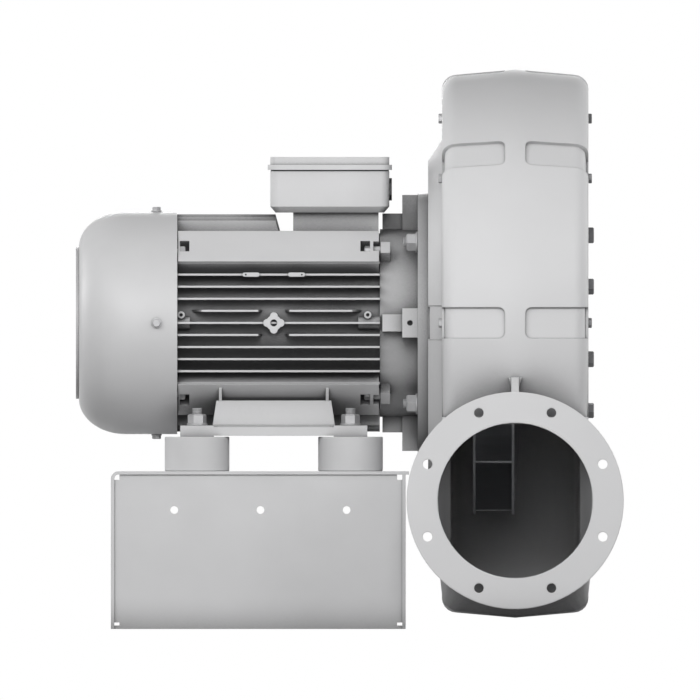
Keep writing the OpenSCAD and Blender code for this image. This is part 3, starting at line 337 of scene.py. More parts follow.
@dataclass(frozen=True)
class TurnedMetal(Finish):
    """Bare metal from a lathe: fine rings round the shaft line, on cylinders and faces alike."""

    def pattern(self, tree: NodeTree, place: NodeSocket) -> NodeSocket:
        """Draw the tool marks by the distance from the shaft line and the place along it.

        Args:
            tree: The material's tree.
            place: Object coordinates in metres.

        Returns:
            The height.
        """
        split = add(tree, "ShaderNodeSeparateXYZ", {"Vector": place}).outputs
        up = add(tree, "ShaderNodeMath", {0: split["Z"], 1: shaft_height()}, operation="SUBTRACT")
        flat = add(tree, "ShaderNodeCombineXYZ", {"X": split["Y"], "Y": up})
        radius = add(tree, "ShaderNodeVectorMath", {0: flat}, operation="LENGTH").outputs["Value"]
        rings = add(tree, "ShaderNodeCombineXYZ", {"X": split["X"], "Y": radius})
        return add(tree, "ShaderNodeTexNoise", {
            "Vector": rings, "Scale": 1 / (self.grain_mm * MM), "Detail": 2.0}).outputs["Fac"]


@dataclass(frozen=True)
class Stacked(Finish):
    """Thin sheets pressed together along the shaft, or wires wound side by side."""

    def pattern(self, tree: NodeTree, place: NodeSocket) -> NodeSocket:
        """Draw one groove for each sheet or wire.

        Args:
            tree: The material's tree.
            place: Object coordinates in metres.

        Returns:
            The height.
        """
        return add(tree, "ShaderNodeTexWave", {
            "Vector": place, "Scale": math.pi / (10 * self.grain_mm * MM), "Distortion": 0.6, "Detail": 1.0},
            bands_direction="X").outputs["Fac"]


# Grey two-part paint over sand-cast aluminium: a fine leathery grain, edges that the paint rounds off, and
# painted shade in gaps and inner corners
CASTING_PAINT = RecessedPaint(
    "sand_cast_aluminium_grey_paint", "#d8d8d9", "#d0d0d1", 0.58, grain_mm=1.4, relief_mm=0.05, edge_mm=1.2,
    painted_shade="#454546", reach_mm=50.0, open_from=0.32, open_to=0.9)
# The same paint on the large smooth scroll: softer edges, painted shade in recesses and near the floor, and a
# darker painted shade on the side walls inside the outlet
SCROLL_PAINT = ScrollPaint(
    "large_casting_grey_paint", "#dadadb", "#d2d2d3", 0.6, drift_mm=140.0, grain_mm=1.6, relief_mm=0.05,
    edge_mm=2.2, painted_shade="#3b3b3d", reach_mm=75.0, open_from=0.15, open_to=0.8)
# Powder coat on sheet: almost smooth, with a shallow orange peel 3 mm across, tight edges, and painted shade
# in gaps and near the floor
SHEET_PAINT = RecessedPaint(
    "folded_sheet_grey_powder_coat", "#d4d4d5", "#cccccd", 0.5, grain_mm=3.0, relief_mm=0.03, edge_mm=0.8,
    painted_shade="#5a5a5b", reach_mm=40.0, open_from=0.2, open_to=0.9)
# Grey rubber: matt, with a mould grain finer than a millimetre
BUFFER_RUBBER = Finish("moulded_grey_rubber", "#d6d6d7", "#cbcbcc", 0.72, grain_mm=0.7, relief_mm=0.04,
                       edge_mm=1.5)
# Black rubber of the gasket and the shaft seal: darker and duller than any paint beside it
SEAL_RUBBER = Finish("black_nitrile_rubber", "#1c1c1d", "#242425", 0.6, grain_mm=0.8, relief_mm=0.03)
# Bright zinc on steel: a soft metal gloss with faint cloudy patches a few millimetres across
ZINC = Finish("bright_zinc_plated_steel", "#b5b5b6", "#a5a5a7", 0.5, 0.35, drift_mm=7.0, grain_mm=0.6,
              relief_mm=0.01, edge_mm=0.35)
# Steel of the larger screws on the inlet side, darkened as painted shade so that they read as dark heads
SHADE_DARKENED_STEEL = Finish("phosphated_steel", "#6a6a6b", "#5c5c5e", 0.5, 0.6, drift_mm=8.0, grain_mm=0.6,
                     relief_mm=0.01, edge_mm=0.4)
# Core sheet: one thin line for each lamination
CORE = Stacked("stacked_core_sheet", "#5a5a5c", "#4c4c4e", 0.45, 0.7, grain_mm=1.2, relief_mm=0.15)
# Enamelled wire under clear varnish: a warm ribbed gloss
COPPER = Stacked("varnished_copper_wire", "#9a5a30", "#84481f", 0.35, 0.5, drift_mm=12.0, grain_mm=1.6,
                 relief_mm=0.5)
# Ground races and balls: the sharpest gloss of all
BEARING = TurnedMetal("ground_bearing_steel", "#d4d4d6", "#cacacd", 0.16, 1.0, grain_mm=0.4,
                      relief_mm=0.004)
# Shaft and hub: tool marks round the shaft line
MACHINED = TurnedMetal("lathe_turned_steel", "#b9b9bc", "#a9a9ad", 0.3, 1.0, grain_mm=0.5, relief_mm=0.012)
# Impeller sheet: a broad soft sheen with wider spinning marks
SPUN = TurnedMetal("spun_aluminium_sheet", "#bcbdbf", "#adaeb1", 0.36, 0.9, grain_mm=0.9, relief_mm=0.012)
# Punched guard: zinc again, with larger patches
GUARD = Finish("punched_zinc_plated_sheet", "#b9bbbe", "#acaeb2", 0.42, 0.6, drift_mm=10.0, grain_mm=0.8,
               relief_mm=0.01, edge_mm=0.4)
# Entry plugs and terminal blocks: dark moulded nylon with a fine spark-eroded grain
NYLON = Finish("moulded_glass_filled_nylon", "#2b2b2c", "#353536", 0.5, grain_mm=0.8, relief_mm=0.03,
               edge_mm=0.6)

FINISH_OF = {
    Slot.SHEET: SHEET_PAINT, Slot.CASTING: CASTING_PAINT, Slot.GREY_RUBBER: BUFFER_RUBBER,
    Slot.BLACK_RUBBER: SEAL_RUBBER, Slot.ZINC: ZINC, Slot.CORE: CORE, Slot.COPPER: COPPER,
    Slot.BEARING: BEARING, Slot.MACHINED: MACHINED, Slot.ALUMINIUM: SPUN, Slot.GUARD: GUARD,
    Slot.PLASTIC: NYLON,
}


def shaft_height() -> float:
    """Height of the shaft line above the floor, in metres."""
    low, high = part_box("shaft")
    return (low.z + high.z) / 2


def loose_parts(node: str) -> list[list[Vector]]:
    """Split a construction node into the points of its separate solids.

    Args:
        node: The node's name.

    Returns:
        The points of each solid.
    """
    mesh = bmesh.new()
    mesh.from_mesh(bpy.data.objects[node].data)
    bmesh.ops.remove_doubles(mesh, verts=mesh.verts, dist=WELD)
    waiting, parts = set(mesh.verts), []
    # The mesh's own order keeps the solids in the same order on each run, which a set's order doesn't
    for start in mesh.verts:
        if start not in waiting:
            continue
        waiting.remove(start)
        reached, found = [start], []
        while reached:
            vert = reached.pop()
            found.append(vert.co.copy())
            for edge in vert.link_edges:
                other = edge.other_vert(vert)
                if other in waiting:
                    waiting.remove(other)
                    reached.append(other)
        parts.append(found)
    mesh.free()
    return parts


def corners(points: list[Vector]) -> tuple[Vector, Vector]:
    """Find the box round some points.

    Args:
        points: The points.

    Returns:
        Its lowest and its highest corner.
    """
    sides = list(zip(*points))
    return Vector([min(side) for side in sides]), Vector([max(side) for side in sides])


def scene_object(name: str, data: ID) -> Object:
    """Put a mesh, lamp or camera into the scene.

    Args:
        name: The object's name.
        data: What the object holds.

    Returns:
        The object, at the origin.
    """
    made = bpy.data.objects.new(name, data)
    bpy.context.scene.collection.objects.link(made)
    return made


def mesh_object(name: str, mesh: bmesh.types.BMesh, smooth: bool = True) -> Object:
    """Turn a bmesh into an object at the origin.

    Args:
        name: The piece's name.
        mesh: Its geometry in metres, which is freed.
        smooth: Shade all but the sharp edges smoothly.

    Returns:
        The object.
    """
    data = bpy.data.meshes.new(name)
    mesh.to_mesh(data)
    mesh.free()
    if smooth:
        data.shade_smooth()
        data.set_sharp_from_angle(angle=math.radians(SMOOTH_DEG))
    return scene_object(name, data)


def joined(parts: list[Object], name: str) -> Object:
    """Join mesh objects at the origin into one.

    Args:
        parts: The objects, which are used up.
        name: The new object's name.

    Returns:
        The joined object.
    """
    mesh = bmesh.new()
    for part in parts:
        mesh.from_mesh(part.data)
        bpy.data.objects.remove(part)
    return mesh_object(name, mesh)


def settle(piece: Object, body: Body, slot: Slot, replaced: tuple[str, ...],
           finish: Finish | None = None) -> None:
    """Give a piece its finish and hand it to the frame.

    Args:
        piece: A mesh object in place.
        body: The body that it moves with.
        slot: The record's material slot.
        replaced: The construction nodes that it stands for.
        finish: Another finish than the slot's own.
    """
    if not piece.data.materials:
        piece.data.materials.append((finish or FINISH_OF[slot]).material())
    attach(piece, body.value)
    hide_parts(*replaced)
    LOG.info("%s: %d faces, on the %s", piece.name, len(piece.data.polygons), body.value)


class GeometryTree:
    """A Geometry Nodes tree that is built in the script, with named inputs."""

    def __init__(self, name: str, sizes: dict[str, float | int]) -> None:
        """Open the tree with one named input for each size.

        Args:
            name: The tree's name.
            sizes: Default value of each input; a whole number makes a whole-number input.
        """
        self.tree = bpy.data.node_groups.new(name, "GeometryNodeTree")
        self.ids: dict[str, str] = {}
        face = self.tree.interface
        face.new_socket("Geometry", in_out="INPUT", socket_type="NodeSocketGeometry")
        for key, value in sizes.items():
            kind = "NodeSocketInt" if isinstance(value, int) else "NodeSocketFloat"
            socket = face.new_socket(key, in_out="INPUT", socket_type=kind)
            socket.default_value = value
            self.ids[key] = socket.identifier
        socket = face.new_socket("Material", in_out="INPUT", socket_type="NodeSocketMaterial")
        self.ids["Material"] = socket.identifier
        face.new_socket("Geometry", in_out="OUTPUT", socket_type="NodeSocketGeometry")
        self.inputs = add(self.tree, "NodeGroupInput").outputs

    def node(self, kind: str, inputs: dict | None = None, **settings: object) -> Node:
        """Add a node to the tree; the arguments are those of add."""
        return add(self.tree, kind, inputs, **settings)

    def lifted(self, shape: Node, high: object, share: float, foot: object = 0.0) -> Node:
        """Move a shape up along its own axis, by the height of its foot and a share of a length.

        Args:
            shape: The node that makes it.
            high: The length, as a number, node or socket.
            share: The share of the length.
            foot: The height of the foot.

        Returns:
            The node that moves it.
        """
        height = self.node("ShaderNodeMath", {0: high, 1: share, 2: foot}, operation="MULTIPLY_ADD")
        way = self.node("ShaderNodeCombineXYZ", {"Z": height})
        return self.node("GeometryNodeTransform", {"Geometry": shape, "Translation": way})

    def close(self, shape: Node) -> None:
        """End the tree with realised instances and the material.

        Args:
            shape: The node that makes the finished geometry.
        """
        real = self.node("GeometryNodeRealizeInstances", {"Geometry": shape})
        dressed = self.node("GeometryNodeSetMaterial", {
            "Geometry": real, "Material": self.inputs["Material"]})
        self.node("NodeGroupOutput", {"Geometry": dressed})

    def grow(self, name: str, seed: Mesh, values: dict[str, object]) -> Object:
        """Run the tree on a seed mesh and keep the result as a plain mesh object.

        Args:
            name: The piece's name.
            seed: The mesh that the tree starts from.
            values: The value of each named input.

        Returns:
            The object, with no modifier left.
        """
        carrier = scene_object(name + "_seed", seed)
        modifier = carrier.modifiers.new("build", "NODES")
        modifier.node_group = self.tree
        for key, value in values.items():
            modifier[self.ids[key]] = value
        depsgraph = bpy.context.evaluated_depsgraph_get()
        mesh = bpy.data.meshes.new_from_object(carrier.evaluated_get(depsgraph))
        bpy.data.objects.remove(carrier)
        mesh.name = name
        return scene_object(name, mesh)


class FastenerTree(GeometryTree):
    """Screws, bolts and nuts: washer, chamfered head, shank and a threaded end past the nut."""

    BODY_SHARE = 0.82  # Part of the head's height below its chamfer
    NARROWED = 0.86  # Radius of the chamfer's top and of the thread's root, as shares of the full ones
    SHANK_STEPS = 24
    WASHER_STEPS = 40
    LAST_ANGLE = 6.28  # Largest angle at which a head may stop, in radians

    def __init__(self) -> None:
        """Build the tree; every point of the seed mesh grows one fastener along its axis."""
        super().__init__("fastener", {
            "Sides": HEXAGON, "Head Radius": 0.01, "Head Height": 0.006, "Washer Radius": 0.01,
            "Washer Height": 0.002, "Shank Radius": 0.005, "Shank Length": 0.02, "End Length": 0.0,
            "Thread Pitch": 0.0015, "Seed": 3})
        size, seat = self.inputs, self.inputs["Washer Height"]
        body_high = self.node("ShaderNodeMath", {0: size["Head Height"], 1: self.BODY_SHARE},
                              operation="MULTIPLY")
        cap_high = self.node("ShaderNodeMath", {0: size["Head Height"], 1: 1 - self.BODY_SHARE},
                             operation="MULTIPLY")
        cap_r = self.node("ShaderNodeMath", {0: size["Head Radius"], 1: self.NARROWED}, operation="MULTIPLY")
        body = self.node("GeometryNodeMeshCylinder", {
            "Vertices": size["Sides"], "Radius": size["Head Radius"], "Depth": body_high})
        cap = self.node("GeometryNodeMeshCone", {
            "Vertices": size["Sides"], "Radius Bottom": size["Head Radius"], "Radius Top": cap_r,
            "Depth": cap_high})
        ring = self.node("GeometryNodeMeshCylinder", {
            "Vertices": self.WASHER_STEPS, "Radius": size["Washer Radius"], "Depth": seat})
        washer = self.node("GeometryNodeSetShadeSmooth", {
            "Geometry": ring, "Selection": ring.outputs["Side"]})
        shank = self.node("GeometryNodeMeshCylinder", {
            "Vertices": self.SHANK_STEPS, "Radius": size["Shank Radius"], "Depth": size["Shank Length"]})
        one = self.node("GeometryNodeJoinGeometry", {0: [
            self.lifted(washer, seat, 0.5), self.lifted(body, body_high, 0.5, seat),
            self.lifted(cap, body_high, 1.0, seat), self.lifted(shank, size["Shank Length"], -0.5),
            self.lifted(self.thread(), size["Head Height"], 1.0, seat)]})
        way = self.node("GeometryNodeInputNamedAttribute", {"Name": "axis"}, data_type="FLOAT_VECTOR")
        along = self.node("FunctionNodeAlignRotationToVector", {"Vector": way}, axis="Z")
        # Each one stops at its own angle, as when it is tightened
        stop = self.node("FunctionNodeRandomValue", {"Seed": size["Seed"], 2: 0.0, 3: self.LAST_ANGLE},
                         data_type="FLOAT").outputs[1]
        turn = self.node("FunctionNodeAxisAngleToRotation", {"Axis": (0.0, 0.0, 1.0), "Angle": stop})
        spin = self.node("FunctionNodeRotateRotation", {"Rotation": along, "Rotate By": turn},
                         rotation_space="LOCAL")
        self.close(self.node("GeometryNodeInstanceOnPoints", {
            "Points": size["Geometry"], "Instance": one, "Rotation": spin}))

    def thread(self) -> Node:
        """Stack one ridge for each turn, widening from the root and narrowing again.

        Returns:
            The node that makes the threaded end, from its own foot upwards.
        """
        size = self.inputs
        half = self.node("ShaderNodeMath", {0: size["Thread Pitch"], 1: 0.5}, operation="MULTIPLY")
        root = self.node("ShaderNodeMath", {0: size["Shank Radius"], 1: self.NARROWED}, operation="MULTIPLY")
        widening, narrowing = (
            self.node("GeometryNodeMeshCone", {
                "Vertices": self.SHANK_STEPS, "Depth": half, f"Radius {crest}": size["Shank Radius"],
                f"Radius {foot}": root})
            for crest, foot in (("Top", "Bottom"), ("Bottom", "Top")))
        ridge = self.node("GeometryNodeJoinGeometry", {0: [widening, self.lifted(narrowing, half, 1.0)]})
        turns = self.node("ShaderNodeMath", {0: size["End Length"], 1: size["Thread Pitch"]},
                          operation="DIVIDE")
        step = self.node("ShaderNodeCombineXYZ", {"Z": size["Thread Pitch"]})
        line = self.node("GeometryNodeMeshLine", {"Count": turns, "Offset": step}, mode="OFFSET")
        return self.node("GeometryNodeInstanceOnPoints", {"Points": line, "Instance": ridge})

    @staticmethod
    def seed(points: list[tuple[Vector, Vector]]) -> Mesh:
        """Make the mesh whose points carry the fasteners.

        Args:
            points: Seat and direction of each fastener.

        Returns:
            A mesh of loose points with an axis attribute.
        """
        mesh = bpy.data.meshes.new("seats")
        mesh.from_pydata([place for place, _ in points], [], [])
        axis = mesh.attributes.new("axis", "FLOAT_VECTOR", "POINT")
        axis.data.foreach_set("vector", [number for _, way in points for number in way])
        return mesh


@dataclass
class FastenerSet:
    """One kind of fastener at every place where the construction has it. Sizes in millimetres.

    Attributes:
        name: The piece's name.
        node: The construction node whose solids give the places.
        facing: The way that the heads point.
        flats: Width across flats.
        head: Height of the head or nut.
        thread: Thread diameter.
        also: Further nodes that the piece stands for.
        washer: Washer diameter, 0 for none.
        washer_t: Washer thickness.
        end: How far the thread stands past a nut.
        is_nut: The node's solids are nuts, so the shank is added below them.
        shank: Length of that added shank.
        finish: Another finish than zinc.
        body: The body that it rides on.
        pitch: Thread pitch, that of a 12 mm thread.
        least: Radius and thickness of a washer that is none, hidden under the head.
    """

    name: str
    node: str
    facing: Facing
    flats: float
    head: float
    thread: float
    also: tuple[str, ...] = ()
    washer: float = 0.0
    washer_t: float = 0.0
    end: float = 0.0
    is_nut: bool = False
    shank: float = 0.0
    finish: Finish | None = None
    body: Body = Body.FRAME
    pitch: float = 1.75
    least: tuple[float, float] = (0.05, 0.01)

    def build(self, tree: FastenerTree) -> None:
        """Grow the set on the construction's own places.

        Args:
            tree: The shared fastener tree.
        """
        seats, shank = [], self.shank * MM
        for points in loose_parts(self.node):
            way = Vector(self.facing.value)
            if self.facing is Facing.OUTWARD:
                centre = sum(points, Vector()) / len(points)
                way = Vector((0.0, centre.y, centre.z - shaft_height())).normalized()
            low, high = corners(points)
            middle = (low + high) / 2
            along = [point.dot(way) for point in points]
            seat = max(along) - (self.head + self.washer_t) * MM
            if not self.is_nut:
                shank = seat - min(along)
            seats.append((middle + way * (seat - middle.dot(way)), way))
        piece = tree.grow(self.name, tree.seed(seats), {
            "Sides": HEXAGON, "Head Radius": self.flats * MM / 2 / math.cos(math.pi / HEXAGON),
            "Head Height": self.head * MM, "Washer Radius": max(self.washer / 2, self.least[0]) * MM,
            "Washer Height": max(self.washer_t, self.least[1]) * MM, "Shank Radius": self.thread * MM / 2,
            "Shank Length": shank, "End Length": self.end * MM, "Thread Pitch": self.pitch * MM,
            "Seed": len(self.name), "Material": (self.finish or ZINC).material()})
        settle(piece, self.body, Slot.ZINC, (self.node, *self.also))


FASTENERS = (
    FastenerSet("foot_fasteners", "foot_nuts", Facing.UP, flats=19, head=10.8, thread=12, washer=24,
                washer_t=2.5, end=8.7, is_nut=True, shank=12.9, also=("foot_washers", "buffer_studs")),
    FastenerSet("buffer_base_fasteners", "buffer_base_nuts", Facing.DOWN, flats=19, head=10.8, thread=12,
                end=8.7, is_nut=True, shank=3.9),
    FastenerSet("flange_fasteners", "flange_nuts", Facing.FAN_END, flats=19, head=10.8, thread=12, washer=24,
                washer_t=2.5, end=3.5, is_nut=True, shank=20, also=("flange_washers", "flange_studs")),
    FastenerSet("drive_shield_bolts", "drive_shield_screws", Facing.FAN_END, flats=13, head=6.5, thread=8),
    FastenerSet("fan_shield_bolts", "fan_shield_screws", Facing.DRIVE_END, flats=13, head=6.5, thread=8),
    FastenerSet("cowl_bolts", "cowl_screws", Facing.OUTWARD, flats=9, head=4, thread=6, washer=12,
                washer_t=1.6),
    FastenerSet("motor_cover_bolts", "motor_cover_screws", Facing.FAN_END, flats=10, head=4, thread=6),
    # The inlet side's screws take the steel that is darkened as painted shade
    FastenerSet("inlet_cover_bolts", "inlet_cover_screws", Facing.DRIVE_END, flats=10, head=4, thread=6,
                finish=SHADE_DARKENED_STEEL),
    FastenerSet("inlet_guard_bolts", "inlet_bolts", Facing.DRIVE_END, flats=16, head=6.4, thread=10,
                finish=SHADE_DARKENED_STEEL),
    FastenerSet("impeller_screw", "impeller_bolt", Facing.DRIVE_END, flats=19, head=7.5, thread=12,
                body=Body.ROTOR),
)


def turned_ring(name: str, profile: list[tuple[float, float]], centre: Vector, axis: Axis,
                steps: int) -> Object:
    """Turn a closed profile into a ring or disc.

    Args:
        name: The piece's name.
        profile: Radius and place along the axis of each point in metres, in order round the section.
        centre: A point on the axis.
        axis: The axis's direction.
        steps: Steps round the turn.

    Returns:
        The object.
    """
    mesh = bmesh.new()
    rings = []
    for i in range(steps):
        a = 2 * math.pi * i / steps
        ring = []
        for r, t in profile:
            across, up = r * math.cos(a), r * math.sin(a)
            offset = Vector((t, across, up)) if axis is Axis.SHAFT else Vector((across, up, t))
            ring.append(mesh.verts.new(centre + offset))
        rings.append(ring)
    count = len(profile)
    for i in range(steps):
        here, there = rings[i], rings[(i + 1) % steps]
        for k in range(count):
            m = (k + 1) % count
            mesh.faces.new((here[k], there[k], there[m], here[m]))
    bmesh.ops.remove_doubles(mesh, verts=mesh.verts, dist=FINE_WELD)
    bmesh.ops.dissolve_degenerate(mesh, dist=FINE_WELD, edges=mesh.edges)
    bmesh.ops.recalc_face_normals(mesh, faces=mesh.faces)
    return mesh_object(name, mesh)


def rounded(points: list[tuple[float, float]], radius: float, steps: int) -> list[tuple[float, float]]:
    """Round every corner of a closed outline.

    Args:
        points: The sharp corners in order.
        radius: Largest corner radius; short sides get less.
        steps: Steps in each corner.

    Returns:
        The rounded outline.
    """
    most = 0.45  # Share of a side that a corner may take
    out = []
    for i, here in enumerate(points):
        p, a, b = Vector(here), Vector(points[i - 1]), Vector(points[(i + 1) % len(points)])
        reach = min(radius, (a - p).length * most, (b - p).length * most)
        start, end = p + (a - p).normalized() * reach, p + (b - p).normalized() * reach
        for k in range(steps + 1):
            t = k / steps
            out.append(tuple(start * (1 - t) ** 2 + p * 2 * t * (1 - t) + end * t ** 2))
    return out


@dataclass
class BufferSet:
    """Four cylindrical rubber buffers between the base and the motor feet.

    Attributes:
        lip_mm: Radius of the rounded rims.
        lip_steps: Steps in each rim.
        steps: Steps round a buffer.
    """

    lip_mm: float = 1.6
    lip_steps: int = 5
    steps: int = 72

    def build(self) -> None:
        """Turn each buffer with rounded rims."""
        parts = []
        for i, points in enumerate(loose_parts("rubber_buffers")):
            low, high = corners(points)
            r, h = (high.x - low.x) / 2, high.z - low.z
            outline = rounded([(0.0, 0.0), (r, 0.0), (r, h), (0.0, h)], self.lip_mm * MM, self.lip_steps)
            profile = [(0.0, 0.0), *(p for p in outline if p[0] > r / 2), (0.0, h)]
            centre = Vector(((low.x + high.x) / 2, (low.y + high.y) / 2, low.z))
            parts.append(turned_ring(f"buffer_{i}", profile, centre, Axis.UPRIGHT, self.steps))
        settle(joined(parts, "buffers"), Body.FRAME, Slot.GREY_RUBBER, ("rubber_buffers",))


class GrilleTree(GeometryTree):
    """A flat grille: round bars at equal steps, spokes, a hub disc and an outer rim."""

    BAR_STEPS = 96
    RIM_STEPS = 128
    HUB_STEPS = 48
    FILLET = 0.3  # Corner radius of a bar's section, as a share of the thickness
    SPOKE_SHARE = 0.9  # Thickness of a spoke, as a share of the grille's

    def __init__(self) -> None:
        """Build the tree; the grille lies in the XY plane with its thickness along Z."""
        super().__init__("grille", {
            "Bars": 6, "First Radius": 0.0175, "Pitch": 0.011, "Bar Width": 0.0045, "Thickness": 0.002,
            "Spokes": 8, "Spoke Width": 0.005, "Spoke Angle": 0.0, "Hub Radius": 0.009, "Rim Inside": 0.08,
            "Rim Outside": 0.088})
        size, thick = self.inputs, self.inputs["Thickness"]
        index = self.node("GeometryNodeInputIndex")
        # The rim is one more bar, as wide as the flat border
        border = self.node("ShaderNodeMath", {0: size["Rim Outside"], 1: size["Rim Inside"]},
                           operation="SUBTRACT")
        across = self.node("ShaderNodeMath", {0: size["Rim Outside"], 1: size["Rim Inside"]}, operation="ADD")
        middle = self.node("ShaderNodeMath", {0: across, 1: 0.5}, operation="MULTIPLY")
        band = self.node("GeometryNodeCurvePrimitiveQuadrilateral", {"Width": border, "Height": thick},
                         mode="RECTANGLE")
        line = self.node("GeometryNodeCurvePrimitiveCircle", {"Resolution": self.RIM_STEPS, "Radius": middle},
                         mode="RADIUS")
        rim = self.node("GeometryNodeCurveToMesh", {"Curve": line, "Profile Curve": band})
        hub = self.node("GeometryNodeMeshCylinder", {
            "Vertices": self.HUB_STEPS, "Radius": size["Hub Radius"], "Depth": thick})
        self.close(self.node("GeometryNodeJoinGeometry", {
            0: [self.bars(index), rim, hub, self.spokes(index)]}))

    def bars(self, index: Node) -> Node:
        """Sweep the round bars, with softened edges.

        Args:
            index: The node that numbers the copies.

        Returns:
            The node that makes the bars.
        """
        size = self.inputs
        flat = self.node("GeometryNodeCurvePrimitiveQuadrilateral", {
            "Width": size["Bar Width"], "Height": size["Thickness"]}, mode="RECTANGLE")
        soft = self.node("ShaderNodeMath", {0: size["Thickness"], 1: self.FILLET}, operation="MULTIPLY")
        section = self.node("GeometryNodeFilletCurve", {"Curve": flat, "Radius": soft, "Limit Radius": True},
                            mode="BEZIER")
        radius = self.node("ShaderNodeMath", {0: index, 1: size["Pitch"], 2: size["First Radius"]},
                           operation="MULTIPLY_ADD")
        wide = self.node("ShaderNodeCombineXYZ", {"X": radius, "Y": radius, "Z": 1.0})
        circle = self.node("GeometryNodeCurvePrimitiveCircle", {"Resolution": self.BAR_STEPS, "Radius": 1.0},
                           mode="RADIUS")
        points = self.node("GeometryNodeMeshLine", {"Count": size["Bars"], "Offset": (0.0, 0.0, 0.0)},
                           mode="OFFSET")
        circles = self.node("GeometryNodeInstanceOnPoints", {
            "Points": points, "Instance": circle, "Scale": wide})
        real = self.node("GeometryNodeRealizeInstances", {"Geometry": circles})
        return self.node("GeometryNodeCurveToMesh", {"Curve": real, "Profile Curve": section})

    def spokes(self, index: Node) -> Node:
        """Set the spokes round the hub, a hair behind the bars, as the pressing leaves them.

        Args:
            index: The node that numbers the copies.

        Returns:
            The node that makes the spokes.
        """
        size = self.inputs
        long = self.node("ShaderNodeMath", {0: size["Rim Inside"], 1: size["Hub Radius"]},
                         operation="SUBTRACT")
        thin = self.node("ShaderNodeMath", {0: size["Thickness"], 1: self.SPOKE_SHARE}, operation="MULTIPLY")
        block = self.node("ShaderNodeCombineXYZ", {"X": long, "Y": size["Spoke Width"], "Z": thin})
        across = self.node("ShaderNodeMath", {0: size["Rim Inside"], 1: size["Hub Radius"]}, operation="ADD")
        middle = self.node("ShaderNodeMath", {0: across, 1: 0.5}, operation="MULTIPLY")
        arm = self.node("GeometryNodeTransform", {
            "Geometry": self.node("GeometryNodeMeshCube", {"Size": block}),
            "Translation": self.node("ShaderNodeCombineXYZ", {"X": middle})})
        step = self.node("ShaderNodeMath", {0: 2 * math.pi, 1: size["Spokes"]}, operation="DIVIDE")
        angle = self.node("ShaderNodeMath", {0: index, 1: step, 2: size["Spoke Angle"]},
                          operation="MULTIPLY_ADD")
        turn = self.node("FunctionNodeAxisAngleToRotation", {"Axis": (0.0, 0.0, 1.0), "Angle": angle})
        points = self.node("GeometryNodeMeshLine", {"Count": size["Spokes"], "Offset": (0.0, 0.0, 0.0)},
                           mode="OFFSET")
        return self.node("GeometryNodeInstanceOnPoints", {
            "Points": points, "Instance": arm, "Rotation": turn})


@dataclass
class Grille:
    """One grille across the shaft line. Sizes in millimetres.

    Attributes:
        name: The piece's name.
        place: Middle of its thickness along the shaft.
        bars: Number of round bars.
        first: Radius of the first bar.
        pitch: Step between the bars.
        bar: Width of a bar.
        sheet: Thickness.
        spoke: Width of a spoke.
        spoke_turn: Angle of the first spoke in degrees.
        hub: Radius of the middle disc.
        rim: Inside and outside radius of the border.
        spokes: Number of spokes.
    """

    name: str
    place: float
    bars: int
    first: float
    pitch: float
    bar: float
    sheet: float
    spoke: float
    spoke_turn: float
    hub: float
    rim: tuple[float, float]
    spokes: int = 8

    def build(self, tree: GrilleTree, finish: Finish) -> Object:
        """Grow the grille and stand it across the shaft.

        Args:
            tree: The shared grille tree.
            finish: Its finish.

        Returns:
            The object.
        """
        start = bpy.data.meshes.new("start")
        start.from_pydata([(0.0, 0.0, 0.0)], [], [])
        made = tree.grow(self.name, start, {
            "Bars": self.bars, "First Radius": self.first * MM, "Pitch": self.pitch * MM,
            "Bar Width": self.bar * MM, "Thickness": self.sheet * MM, "Spokes": self.spokes,
            "Spoke Width": self.spoke * MM, "Spoke Angle": math.radians(self.spoke_turn),
            "Hub Radius": self.hub * MM, "Rim Inside": self.rim[0] * MM, "Rim Outside": self.rim[1] * MM,
            "Material": finish.material()})
        stand = Matrix(((0, 0, 1), (1, 0, 0), (0, 1, 0))).to_4x4()
        made.data.transform(Matrix.Translation((self.place * MM, 0.0, shaft_height())) @ stand)
        return made


@dataclass
class FanCowl:
    """Deep-drawn fan cowl with its rounded shoulder and a pressed grille. Sizes in millimetres.

    Attributes:
        sheet: Thickness.
        straight: Length of the straight wall.
        end_r: Radius where the shoulder meets the flat end.
        lip: Height of the flat end over the shoulder.
        shoulder_steps: Steps along the shoulder.
        steps: Steps round the cowl.
    """

    sheet: float = 2.0
    straight: float = 60.0
    end_r: float = 88.0
    lip: float = 3.5
    shoulder_steps: int = 22
    steps: int = 192

    def build(self, tree: GrilleTree) -> None:
        """Turn the smooth shell and set the grille in its end.

        Args:
            tree: The shared grille tree.
        """
        low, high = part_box("fan_cowl")
        r = (high.y - low.y) / 2
        t, lip, end_r = self.sheet * MM, self.lip * MM, self.end_r * MM
        knee = high.x - self.straight * MM
        deep, rise = knee - low.x - lip, r - end_r
        quarter = [i * math.pi / 2 / self.shoulder_steps for i in range(self.shoulder_steps + 1)]
        outer = [(end_r + rise * math.cos(a), knee - deep * math.sin(a)) for a in quarter]
        inner = [(end_r - t + rise * math.cos(a), knee - (deep - t) * math.sin(a)) for a in reversed(quarter)]
        profile = [(r - t, high.x), (r, high.x), *outer, (end_r, low.x), (end_r - t, low.x), *inner]
        shell = turned_ring("shell", profile, Vector((0.0, 0.0, shaft_height())), Axis.SHAFT, self.steps)
        shell.data.materials.append(SHEET_PAINT.material())
        grille = Grille("cowl_grille", place=low.x / MM + self.sheet / 2, bars=6, first=17.5, pitch=11.0,
                        bar=4.5, sheet=self.sheet, spoke=5.0, spoke_turn=0.0, hub=8.75,
                        rim=(81.25, self.end_r - self.sheet)).build(tree, SHEET_PAINT)
        settle(joined([shell, grille], "cowl_with_grille"), Body.FRAME, Slot.SHEET, ("fan_cowl",))


